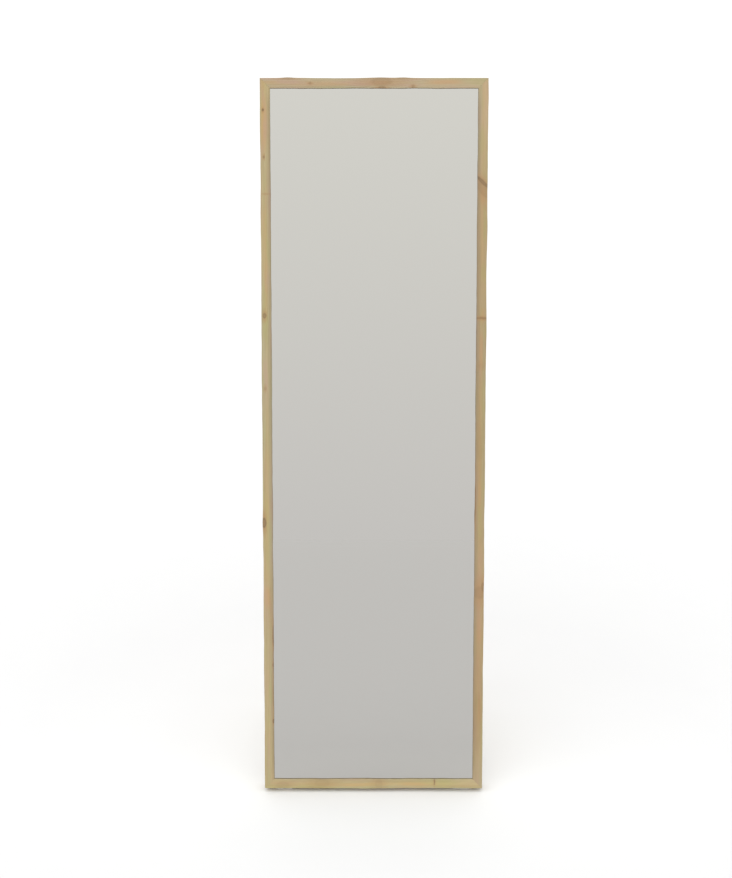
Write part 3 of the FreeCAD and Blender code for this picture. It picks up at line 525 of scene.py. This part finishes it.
def woven_webbing():
    """Natural cotton webbing: a twill of cords with a firmer, darker selvedge."""
    material, tree, shader = new_material("woven_webbing")
    flat = add(tree, "UVMap", uv_map="cut_flat").outputs[0]
    parts = split(tree, flat)
    cord_step, pick_step = 2 * math.pi / (1.25 * MM), 2 * math.pi / (1.05 * MM)
    leaning = plus(tree, times(tree, parts[0], cord_step), times(tree, parts[1], pick_step * 0.5))
    warp = sine(tree, leaning)
    weft = sine(tree, times(tree, parts[1], pick_step))
    weave = plus(tree, times(tree, warp, 0.65), times(tree, weft, 0.35))
    hair = spread_noise(tree, flat, (2400, 900, 1), detail=3)
    soil = spread_noise(tree, flat, (40, 18, 1), detail=3)
    selvedge = remap(tree, size_of(tree, parts[0]), 10.2 * MM, 11.2 * MM)
    colour = tint(tree, remap(tree, weave, -0.7, 0.8), rgb(150, 139, 116), rgb(212, 203, 182))
    colour = tint(tree, times(tree, selvedge, 0.35), colour, rgb(150, 136, 110))
    colour = tint(tree, remap(tree, soil, 0.45, 0.8, 0.0, 0.3), colour, rgb(160, 146, 120))
    colour = tint(tree, remap(tree, hair, 0.55, 0.8, 0.0, 0.35), colour, rgb(228, 221, 204))
    height = plus(tree, weave, times(tree, hair, 0.5))
    wire(tree, shader, Base_Color=colour, Roughness=0.86, Normal=bump(tree, height, 0.22 * MM, 0.9))
    wire(tree, shader, Sheen_Weight=0.25, Sheen_Roughness=0.5, Specular_IOR_Level=0.2)
    return material


def waxed_thread():
    """Dark waxed sewing thread."""
    material, tree, shader = new_material("waxed_thread")
    place = board_place(tree)
    twist = spread_noise(tree, place, (3000, 1200, 3000), detail=2)
    colour = tint(tree, remap(tree, twist, 0.3, 0.7), rgb(92, 70, 48), rgb(138, 110, 80))
    wire(tree, shader, Base_Color=colour, Roughness=0.55, Normal=bump(tree, twist, 0.05 * MM, 0.6))
    return material


def plain_beech(name):
    """Beech: even and pinkish, with short flecks along the grain."""
    material, tree, shader = new_material(name)
    place = board_place(tree)
    fleck = remap(tree, spread_noise(tree, place, (900, 900, 220), detail=1), 0.60, 0.72)
    tone = spread_noise(tree, place, (40, 40, 12), detail=3)
    colour = tint(tree, remap(tree, tone, 0.3, 0.7), rgb(190, 148, 108), rgb(206, 166, 126))
    colour = tint(tree, times(tree, fleck, 0.5), colour, rgb(150, 104, 68))
    wire(tree, shader, Base_Color=colour, Roughness=0.55, Normal=bump(tree, fleck, 0.04 * MM, 0.5))
    return material


# ---------------------------------------------------------------- boards

def outline_box(x_low, y_low, x_high, y_high):
    """A rectangular section."""
    return [(x_low, y_low), (x_high, y_low), (x_high, y_high), (x_low, y_high)]


def skin(bm, rings):
    """Faces from each ring of points to the next, and a cap on each end."""
    size = len(rings[0])
    for low_ring, high_ring in zip(rings, rings[1:]):
        for corner in range(size):
            after = (corner + 1) % size
            bm.faces.new((low_ring[corner], low_ring[after], high_ring[after], high_ring[corner]))
    bm.faces.new(reversed(rings[0]))
    bm.faces.new(rings[-1])


def board(name, section, length, place, material, start=None, end=None, step=None, bow=None, ease=1.0,
          end_ease=0.5, smooth=True):
    """A length of stock: its section in X and Y, swept along Z. start and end give how far a cut end
    moves along Z at a point of the section, and bow gives how far a point stands off the true board.
    ease is the radius of the long arrises in millimetres, and end_ease the ends' share of it."""
    count = max(1, round(length / step)) if step else 1
    bm = bmesh.new()
    weight = bm.edges.layers.float.new("bevel_weight_edge")
    rings = []
    for number in range(count + 1):
        ring = []
        for x, y in section:
            low = start(x, y) if start else 0.0
            high = length + (end(x, y) if end else 0.0)
            z = low + (high - low) * number / count
            stand_off = bow(x, y, z) if bow else Vector((0, 0, 0))
            ring.append(bm.verts.new(Vector((x, y, z)) + stand_off))
        rings.append(ring)
    skin(bm, rings)
    for low_ring, high_ring in zip(rings, rings[1:]):
        for ends in zip(low_ring, high_ring):
            bm.edges.get(ends)[weight] = 1.0
    for ring in (rings[0], rings[-1]):
        for ends in zip(ring, ring[1:] + ring[:1]):
            bm.edges.get(ends)[weight] = end_ease
    bmesh.ops.recalc_face_normals(bm, faces=bm.faces)
    piece = piece_from(bm, name, place, material, smooth)
    rounding = piece.modifiers.new("eased_arrises", "BEVEL")
    rounding.limit_method = "WEIGHT"
    rounding.width = ease * MM
    rounding.segments = 3 if smooth else 1
    rounding.harden_normals = smooth
    return piece


def piece_from(bm, name, place, material, smooth=True):
    """Turn a bmesh into an object that stands in its own frame."""
    mesh = bpy.data.meshes.new(name)
    bm.to_mesh(mesh)
    bm.free()
    mesh.polygons.foreach_set("use_smooth", [smooth] * len(mesh.polygons))
    if smooth:
        mesh.set_sharp_from_angle(angle=math.radians(40))
    mesh.materials.append(material)
    piece = bpy.data.objects.new(name, mesh)
    bpy.context.scene.collection.objects.link(piece)
    piece.matrix_world = place
    return piece


def stand_for(piece, body, slot, *nodes):
    """The new piece moves with the body and is shown in place of the CAD nodes."""
    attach(piece, body)
    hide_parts(*nodes)
    return piece


# ---------------------------------------------------------------- mirror frame

# Knots and marks of each frame member, in millimetres: along from its left or bottom end, across from its
# outer edge, half height along the grain, half width, then slope and depth from 0 to 1.
KNOTS = {
    "left_stile": [(1531, 6.5, 2.4, 2.0, 0, 0.9), (1430, 8, 2.4, 2.0, 0, 0.75), (1350, 12, 1.0, 9, 0, 0.3),
                   (1083, 7, 5, 3.6, 0, 0.75), (921, 7, 3.2, 2.6, 0, 0.4), (618, 2.5, 10, 4.4, 0, 0.85),
                   (438, 16, 30, 3, 0, 0.25), (360, 21.5, 19, 1.6, 0, 0.7), (291, 21.5, 4, 1.8, 0, 0.8),
                   (219, 21, 22, 1.5, 0, 0.45), (159, 21, 4, 1.8, 0, 0.9)],
    "right_stile": [(1375, 10, 4.2, 13, 0.9, 0.85), (1358, 9, 11, 12, 0.9, 0.4), (1078, 11, 1.8, 13, 0, 0.7),
                    (972, 10, 4, 9, 0, 0.2), (790, 13, 26, 6, 0, 0.2), (472, 2.5, 9, 3.2, 0, 0.6),
                    (458, 9, 12, 12, 0, 0.4), (665, 21.5, 36, 1.4, 0, 0.6), (158, 12, 58, 8, 0, 0.3)],
    "top_rail": [(61, 1, 11, 2.6, 0, 0.35), (110, 12, 2.6, 2.4, 0, 0.5), (266, 8, 20, 8, 0, 0.42),
                 (267, 20, 7, 2, 0, 0.6), (316, 1, 13, 2.6, 0, 0.35), (335, 18, 3, 3.4, 0, 0.5)],
    "bottom_rail": [(41, 8, 13, 7, 0, 0.3), (132, 13, 15, 8, 0, 0.32), (118, 3, 16, 2.4, 0, 0.3),
                    (262, 11, 7, 12, 0, 0.3), (390, 16, 1.0, 7, 0, 0.9)],
}
# Where each outer edge stands proud, in millimetres: along, half length and height.
SWELLINGS = {"left_stile": [(618, 14, 0.7)], "right_stile": [(1560, 24, 0.8)],
             "top_rail": [(61, 13, 1.1), (266, 22, 0.7), (316, 14, 1.0)], "bottom_rail": [(118, 18, 0.8)]}
# Where the heartwood of each member is reddest, in millimetres: along, and half length.
STREAKS = {"left_stile": [(1505, 75), (645, 40), (448, 30)],
           "right_stile": [(1345, 25), (1083, 22), (1005, 45), (680, 50), (372, 40), (184, 45)],
           "top_rail": [(262, 30), (405, 45)], "bottom_rail": [(215, 55), (345, 50)]}
# How red each member is, how much painted shade darkens its inner side, and how its colour leans along it and
# at its ends.
TONES = {"left_stile": (0.10, 0.45, (0.94, 0.975, 1.03), (0.96, 0.99, 0.97)),
         "right_stile": (-0.08, 0.52, (0.870, 0.838, 0.848), (0.97, 0.955, 1.07)),
         "top_rail": (0.05, 0.08, (0.94, 0.965, 1.11), (0.94, 0.965, 1.11)),
         "bottom_rail": (0.0, 0.2, (1.02, 1.08, 1.07), (1.02, 1.08, 1.07))}


TRUE_END, FADE_IN = 35 * MM, 50 * MM
INNER_WANDER, FACE_WANDER = 0.9, 0.35


def frame_section(inward):
    """Rebated section of a frame member; inward is the way from its outer edge to the glass."""
    points = [(0, -DEPTH), (FACE, -DEPTH), (FACE, LIP - DEPTH), (FACE - REBATE, LIP - DEPTH),
              (FACE - REBATE, 0), (0, 0)]
    return [(inward * x, y) for x, y in points]


def hand_planed(inward, length, swellings, shift):
    """How a frame member's edges wander off true, with a swelling where a knot stood proud of the plane.
    The wander dies out before the ends, so that the mitres meet."""
    def bow(x, y, z):
        across = abs(x)
        fade = min(1.0, max(0.0, min(z, length - z) - TRUE_END) / FADE_IN)
        outer = noise.noise(Vector((z * 9, shift * 7.1, 0)))
        outer += 0.5 * noise.noise(Vector((z * 31, shift * 3.3, 4)))
        inner = noise.noise(Vector((z * 12, shift * 5.7, 9)))
        inner += 0.5 * noise.noise(Vector((z * 40, shift * 2.9, 6)))
        face = noise.noise(Vector((z * 7, x * 60, shift * 4.3)))
        swell = 0.0
        for along, reach, height in swellings:
            swell += height * math.exp(-((z - along * MM) / (reach * MM)) ** 2)
        share = across / FACE
        sideways = (outer * fade - swell) * (1 - share) + INNER_WANDER * inner * share * fade
        forward = FACE_WANDER * face * fade if y < -DEPTH / 2 else 0.0
        return Vector((inward * sideways * MM, forward * MM, 0))
    return bow


def make_frame_member(name, inward, length, origin, turn, shift, splines):
    """A stile or rail, mitred at both ends and slotted for its corner splines."""
    red, shaded, tone, end_tone = TONES[name]
    finish = pine(name + "_oiled_pine", KNOTS[name], shift, inward, red, shaded, tone, end_tone, length,
                  -DEPTH, STREAKS[name])
    piece = board(
        name + "_pine", frame_section(inward), length, MIRROR @ Matrix.Translation(origin) @ turn, finish,
        start=lambda x, y: abs(x), end=lambda x, y: -abs(x), step=6 * MM,
        bow=hand_planed(inward, length, SWELLINGS[name], shift), ease=1.3, end_ease=0.16)
    for spline in splines:
        slot = piece.modifiers.new("spline_slot", "BOOLEAN")
        slot.object = frame["nodes"][spline]
        slot.operation = "DIFFERENCE"
        slot.solver = "EXACT"
    return stand_for(piece, "mirror", "frame_pine", name)


def make_frame():
    """Two stiles and two rails around the glass."""
    upright = Matrix.Identity(4)
    left, right = -WIDTH / 2, WIDTH / 2
    make_frame_member("left_stile", 1, HEIGHT, (left, 0, 0), upright, 0.31,
                      ["bottom_left_corner_spline", "top_left_corner_spline"])
    make_frame_member("right_stile", -1, HEIGHT, (right, 0, 0), upright, 1.27,
                      ["bottom_right_corner_spline", "top_right_corner_spline"])
    make_frame_member("top_rail", 1, WIDTH, (left, 0, HEIGHT), LEVEL, 2.41,
                      ["top_left_corner_spline", "top_right_corner_spline"])
    make_frame_member("bottom_rail", -1, WIDTH, (left, 0, 0), LEVEL, 3.17,
                      ["bottom_left_corner_spline", "bottom_right_corner_spline"])


# ---------------------------------------------------------------- glass, tape and boards behind it

GLASS_LOW = FACE - REBATE + GLASS_PLAY
GLASS_HALF = WIDTH / 2 - GLASS_LOW
GLASS_TALL = HEIGHT - 2 * GLASS_LOW
GLASS_FRONT = LIP - DEPTH
EDGE_SLOT, BACK_SLOT = 1, 2


def make_glass():
    """The pane: silvered in front as seen through the glass, ground at its edges and painted behind."""
    section = outline_box(-GLASS_HALF, GLASS_FRONT, GLASS_HALF, GLASS_FRONT + GLASS_THICK)
    place = MIRROR @ Matrix.Translation((0, 0, GLASS_LOW))
    pane = board("silvered_pane", section, GLASS_TALL, place, silvered_face(), ease=0.6, end_ease=1.0,
                 smooth=False)
    pane.data.materials.append(glass_edge())
    pane.data.materials.append(backing_paint())
    for face in pane.data.polygons:
        if face.normal.y > 0.5:
            face.material_index = BACK_SLOT
        elif face.normal.y > -0.5:
            face.material_index = EDGE_SLOT
    stand_for(pane, "mirror", "mirror", "mirror_glass")


def make_tapes():
    """Foam tape between the glass and its backing board."""
    foam = white_foam()
    front = GLASS_FRONT + GLASS_THICK
    section = outline_box(-TAPE_WIDE / 2, front, TAPE_WIDE / 2, front + TAPE_THICK)
    for name, along_x in (("left", -TAPE_SPACING), ("middle", 0), ("right", TAPE_SPACING)):
        place = MIRROR @ Matrix.Translation((along_x, 0, (HEIGHT - TAPE_TALL) / 2))
        tape = board(name + "_foam_tape", section, TAPE_TALL, place, foam, step=40 * MM, ease=0.35)
        stand_for(tape, "mirror", "foam_tape", "foam_tape_strips")


def make_backing_board():
    """The hardboard sheet that closes the back."""
    front = GLASS_FRONT + GLASS_THICK + TAPE_THICK
    section = outline_box(-GLASS_HALF, front, GLASS_HALF, front + BOARD_THICK)
    place = MIRROR @ Matrix.Translation((0, 0, GLASS_LOW))
    sheet = board("hardboard_back", section, GLASS_TALL, place, hardboard(), ease=0.4)
    stand_for(sheet, "mirror", "hardboard", "backing_board")


def slight_bow(shift, amount):
    """A planed board's small wander off true."""
    def bow(x, y, z):
        aside = noise.noise(Vector((z * 6, shift, 1)))
        proud = noise.noise(Vector((z * 6, shift, 5)))
        return Vector((aside, proud, 0)) * amount * MM
    return bow


def make_cross_rails():
    """Two rails across the frame's back: the upper carries the hinges, and the lower the strap's clamp."""
    half = WIDTH / 2 - FACE + REBATE - CROSS_RAIL_PLAY
    for name, (low, tall), shift, knots in (
            ("upper_cross_rail", UPPER_RAIL, 4.2, [(118, -52, 7, 5.5, 0, 1), (372, -20, 3, 2.6, 0, 0.8)]),
            ("lower_cross_rail", LOWER_RAIL, 5.3, [(356, -22, 5.5, 4.5, 0, 1)])):
        section = outline_box(-low - tall, -RAIL_THICK, -low, 0)
        section = [(x + low, y) for x, y in section]
        place = MIRROR @ Matrix.Translation((-half, 0, low)) @ LEVEL
        rail = board(name + "_pine", section, 2 * half, place, pine(name + "_oiled_pine", knots, shift),
                     step=20 * MM, ease=0.9, end_ease=0.5)
        stand_for(rail, "mirror", "back_pine", name)


# ---------------------------------------------------------------- easel

def foot_cut(y):
    """Height of the foot's level cut in the easel's frame, at the depth y, for the leg's underside."""
    rake = SPREAD - LEAN
    return -(hinge_centre.z + y * math.sin(rake) - FOOT_THICK) / math.cos(rake)


def make_legs():
    """The easel's legs, cut level at the floor."""
    foot = foot_cut(HINGE_OUT)
    for name, side, shift, knots in (
            ("left_leg", -1, 6.1, [(310, 5, 5, 4, 0, 0.9), (880, -7, 6, 5, 0, 1)]),
            ("right_leg", 1, 7.4, [(560, -4, 6, 5, 0, 1), (1010, 8, 3.5, 3, 0, 0.8)])):
        section = outline_box(-LEG_WIDE / 2, HINGE_OUT, LEG_WIDE / 2, HINGE_OUT + LEG_THICK)
        place = EASEL @ Matrix.Translation((side * LEG_SPACING, 0, foot))
        finish = pine(name + "_oiled_pine", knots, shift, face_at=HINGE_OUT + LEG_THICK)
        leg = board(name + "_pine", section, -LEG_DROP - foot, place, finish,
                    start=lambda x, y: foot_cut(y) - foot, step=25 * MM, bow=slight_bow(shift, 0.3), ease=1.6)
        stand_for(leg, "easel", "back_pine", name)


def make_easel_rails():
    """The two rails between the easel's legs."""
    half = LEG_SPACING - LEG_WIDE / 2
    for name, middle, tall, shift, knots in (
            ("easel_top_rail", -LEG_DROP - EASEL_TOP_TALL / 2, EASEL_TOP_TALL, 8.6, [(84, 12, 7, 6, 0, 1)]),
            ("easel_low_rail", -EASEL_LOW_DOWN, EASEL_LOW_TALL, 9.5, [(205, -8, 5, 4, 0, 0.9)])):
        section = outline_box(-tall / 2, HINGE_OUT, tall / 2, HINGE_OUT + LEG_THICK)
        place = EASEL @ Matrix.Translation((-half, 0, middle)) @ LEVEL
        finish = pine(name + "_oiled_pine", knots, shift, face_at=HINGE_OUT + LEG_THICK)
        rail = board(name + "_pine", section, 2 * half, place, finish, step=20 * MM, ease=1.2, end_ease=0.15)
        stand_for(rail, "easel", "back_pine", name)


# ---------------------------------------------------------------- stay strap

def rounded_route(points, radius, steps=6):
    """The route through the points with each corner turned on an arc of that radius."""
    route = [points[0]]
    for before, corner, after in zip(points, points[1:], points[2:]):
        incoming, outgoing = (corner - before).normalized(), (after - corner).normalized()
        turn = incoming.angle(outgoing)
        setback = radius * math.tan(turn / 2)
        start = corner - incoming * setback
        axis = incoming.cross(outgoing).normalized()
        centre = start + axis.cross(incoming) * radius
        for number in range(steps + 1):
            spoke = Matrix.Rotation(turn * number / steps, 3, axis) @ (start - centre)
            route.append(centre + spoke)
    route.append(points[-1])
    return route


def strap_route():
    """Centreline of the webbing: down under the clamp, back to the easel, once round its low rail, and
    forward again under itself."""
    half, gap = STRAP_THICK / 2, STRAP_CLEAR
    tab_top = MIRROR @ Vector((0, half, STRAP_UP + STRAP_TAB))
    anchor = MIRROR @ Vector((0, half, STRAP_UP + half))
    front, back = HINGE_OUT - gap - half, HINGE_OUT + LEG_THICK + gap + half
    low = -EASEL_LOW_DOWN - EASEL_LOW_TALL / 2 - gap - half
    high = -EASEL_LOW_DOWN + EASEL_LOW_TALL / 2 + gap + half
    level = anchor.z
    meet = EASEL @ Vector((0, front, -EASEL_LOW_DOWN))
    meet.z = level
    corners = [EASEL @ Vector((0, y, z)) for y, z in ((front, high), (back, high), (back, low), (front, low))]
    under = meet - Vector((0, 0, STRAP_THICK + LAYER_GAP))
    tail_end = under - Vector((0, STRAP_TAIL, 0))
    return [tab_top, anchor, meet, *corners, under, tail_end], meet


def divided(route, step):
    """The route with its long runs divided into short steps."""
    fine = [route[0]]
    for start, end in zip(route, route[1:]):
        count = max(1, math.ceil((end - start).length / step))
        fine += [start.lerp(end, number / count) for number in range(1, count + 1)]
    return fine


def make_strap():
    """The webbing, with its weave laid on the flat cut strip, and its stitching."""
    corners, meet = strap_route()
    route = divided(rounded_route(corners, STRAP_TURN), STRAP_STEP)
    wide, thick, lip = STRAP_WIDE / 2, STRAP_THICK / 2, STRAP_LIP
    section = [(-wide, -thick * 0.4), (-wide + lip, -thick), (wide - lip, -thick), (wide, -thick * 0.4),
               (wide, thick * 0.4), (wide - lip, thick), (-wide + lip, thick), (-wide, thick * 0.4)]
    bm = bmesh.new()
    flat = bm.loops.layers.uv.new("cut_flat")
    rings, travelled, along = [], 0.0, {}
    for number, point in enumerate(route):
        before, after = route[max(number - 1, 0)], route[min(number + 1, len(route) - 1)]
        travelled += (point - before).length
        normal = Vector((1, 0, 0)).cross((after - before).normalized())
        ring = [bm.verts.new(point + Vector((x, 0, 0)) + normal * y) for x, y in section]
        for vert, (x, y) in zip(ring, section):
            along[vert] = (x, travelled)
        rings.append(ring)
    skin(bm, rings)
    for face in bm.faces:
        for loop in face.loops:
            loop[flat].uv = along[loop.vert]
    bmesh.ops.recalc_face_normals(bm, faces=bm.faces)
    strap = piece_from(bm, "webbing_strap", Matrix.Identity(4), woven_webbing())
    stitching = make_stitching(meet)
    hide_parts("stay_strap")
    for piece in (strap, stitching):
        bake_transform(piece)


def add_stitches(bm, start, end, lift):
    """Short raised stitches from start to end."""
    run = end - start
    count = max(1, round(run.length / STITCH_STEP))
    turn = Vector((0, 1, 0)).rotation_difference(run.normalized()).to_matrix().to_4x4()
    for number in range(count):
        middle = start.lerp(end, (number + 0.5) / count) + lift
        shape = Matrix.Translation(middle) @ turn @ Matrix.Diagonal((*STITCH_SIZE, 1))
        bmesh.ops.create_icosphere(bm, subdivisions=2, radius=1.0, matrix=shape)


def make_stitching(meet):
    """Box and cross sewn through both layers of webbing in front of the rail."""
    bm = bmesh.new()
    half = STITCHED_HALF
    near, far = meet.y - STITCHED_FROM_RAIL, meet.y - STRAP_TAIL + STITCHED_FROM_END
    corners = [Vector((x, y, meet.z)) for x, y in ((-half, near), (half, near), (half, far), (-half, far))]
    seams = list(zip(corners, corners[1:] + corners[:1]))
    seams += [(corners[0], corners[2]), (corners[1], corners[3])]
    top = Vector((0, 0, STRAP_THICK / 2))
    for start, end in seams:
        add_stitches(bm, start, end, top)
        add_stitches(bm, start, end, -3 * top - Vector((0, 0, LAYER_GAP)))
    return piece_from(bm, "strap_stitching", Matrix.Identity(4), waxed_thread())


# ---------------------------------------------------------------- CAD pieces kept, with their finishes

def finish_node(name, material, ease=0.0):
    """Give a CAD node its finish, and a small radius on its sharp edges."""
    node = frame["nodes"][name]
    if not node.material_slots:
        node.data.materials.append(material)
    for slot in node.material_slots:
        slot.link = "OBJECT"
        slot.material = material
    if ease:
        weld = node.modifiers.new("joined_faces", "WELD")
        weld.merge_threshold = 0.004 * MM
        rounding = node.modifiers.new("eased_edges", "BEVEL")
        rounding.limit_method = "ANGLE"
        rounding.angle_limit = math.radians(50)
        rounding.width = ease * MM
        rounding.segments = 2
        even = node.modifiers.new("even_shading", "WEIGHTED_NORMAL")
        even.keep_sharp = True


def finish_hardware():
    """Each kind of CAD piece, known by how its name ends, gets its finish and the radius of its edges."""
    zinc = plated_steel("zinc_plate", rgb(186, 187, 187), rgb(202, 200, 194), 0.30, 0.44)
    hinge_zinc = plated_steel("hinge_zinc", rgb(172, 173, 174), rgb(190, 188, 184), 0.26, 0.40)
    screw_zinc = plated_steel("screw_zinc", rgb(178, 173, 158), rgb(196, 190, 172), 0.20, 0.32)
    rubber = moulded_rubber()
    spline_beech = plain_beech("spline_beech")
    finishes = [("angle_plate", zinc, 0.35), ("clamp_plate", zinc, 0.35), ("hanger_plate", zinc, 0.2),
                ("hanging_ring", zinc, 0.0), ("glazing_tabs", zinc, 0.15), ("leaf", hinge_zinc, 0.25),
                ("hinge_pin", hinge_zinc, 0.2), ("screws", screw_zinc, 0.12), ("foot", rubber, 0.7),
                ("leg_pad", rubber, 0.6), ("corner_spline", spline_beech, 0.0), ("dowels", spline_beech, 0.4)]
    for name in frame["nodes"]:
        for ending, material, ease in finishes:
            if name.endswith(ending):
                finish_node(name, material, ease)


# ---------------------------------------------------------------- room, light and camera

# Sizes and places in metres, turns in degrees, and the lens in millimetres.
FLOOR_RADIUS = 600
# Floor colours: painted shade near the object, a paler floor far off, and painted light around the feet and
# under the frame.
FLOOR_PLAIN, FLOOR_CLOUDED = (0.748, 0.744, 0.768, 1), (0.758, 0.754, 0.777, 1)
FLOOR_FAR, FLOOR_PAINTED_LIGHT_BY_FEET, FLOOR_PAINTED_LIGHT_UNDER = (
    (0.781, 0.776, 0.800, 1), (0.800, 0.796, 0.818, 1), (0.850, 0.848, 0.862, 1))
WALLS_LOW, WALLS_HIGH, WALLS_STRENGTH = (1.0, 1.0, 1.0, 1), (1.18, 1.19, 1.15, 1), 1.08
LAMP_ENERGY, LAMP_SPREAD, LAMP_WAY = 0.38, 70, (0.5, 0.6, -0.9)
CAMERA_LENS, CAMERA_REACH = 50, 2000
CAMERA_PLACE, CAMERA_DOWN, CAMERA_ASIDE = (-0.0134, -2.716, 1.526), 15.284, 0.0885


def make_floor():
    """A plain pale floor, a little paler far off: painted shade darkens it near the object, and painted light
    lifts it around the feet and under the frame, over their contact shadow.
    """
    material, tree, shader = new_material("pale_floor")
    place = board_place(tree)
    away = length_of(tree, place)
    # Painted light around the feet and under the frame, over their contact shadow.
    painted_light_by_feet = remap(tree, away, 0.35, 0.95, 1.0, 0.0)
    painted_light_underneath = remap(tree, away, 0.22, 0.52, 1.0, 0.0)
    # Painted shade near the object, paling with distance.
    away = remap(tree, maths(tree, "LOGARITHM", away, 10.0), 0.2, 1.9, smooth=False)
    swept = spread_noise(tree, place, (9, 9, 9), detail=3)
    near = tint(tree, swept, FLOOR_PLAIN, FLOOR_CLOUDED)
    tone = tint(tree, away, near, FLOOR_FAR)
    tone = tint(tree, painted_light_by_feet, tone, FLOOR_PAINTED_LIGHT_BY_FEET)
    wire(tree, shader, Base_Color=tint(tree, painted_light_underneath, tone, FLOOR_PAINTED_LIGHT_UNDER), Roughness=0.9)
    wire(tree, shader, Specular_IOR_Level=0.1)
    bm = bmesh.new()
    bmesh.ops.create_circle(bm, cap_ends=True, segments=96, radius=FLOOR_RADIUS)
    floor = piece_from(bm, "studio_floor", Matrix.Identity(4), material, smooth=False)


def make_light():
    """White walls all round, brighter towards the ceiling, and one large soft lamp."""
    world = bpy.data.worlds.new("white_studio")
    bpy.context.scene.world = world
    world.use_nodes = True
    tree = world.node_tree
    up = split(tree, add(tree, "TexCoord").outputs["Generated"])[2]
    height = remap(tree, up, 0.0, 0.36, smooth=False)
    wire(tree, tree.nodes["Background"].inputs, Color=tint(tree, height, WALLS_LOW, WALLS_HIGH),
         Strength=WALLS_STRENGTH)
    lamp = bpy.data.lights.new("soft_lamp", "SUN")
    lamp.angle = math.radians(LAMP_SPREAD)
    lamp.energy = LAMP_ENERGY
    holder = bpy.data.objects.new("soft_lamp", lamp)
    bpy.context.scene.collection.objects.link(holder)
    holder.rotation_euler = Vector(LAMP_WAY).to_track_quat("-Z", "Y").to_euler()
    holder.visible_glossy = False


def make_camera():
    """Eye height, looking down at the glass from a little above its normal."""
    lens = bpy.data.cameras.new("camera")
    lens.lens = CAMERA_LENS
    lens.clip_end = CAMERA_REACH
    camera = bpy.data.objects.new("camera", lens)
    bpy.context.scene.collection.objects.link(camera)
    camera.location = CAMERA_PLACE
    camera.rotation_euler = (math.radians(90 - CAMERA_DOWN), 0, math.radians(CAMERA_ASIDE))
    bpy.context.scene.camera = camera
    bpy.context.scene.view_settings.view_transform = "Standard"


make_frame()
make_glass()
make_tapes()
make_backing_board()
make_cross_rails()
make_legs()
make_easel_rails()
make_strap()
finish_hardware()
make_floor()
make_light()
make_camera()
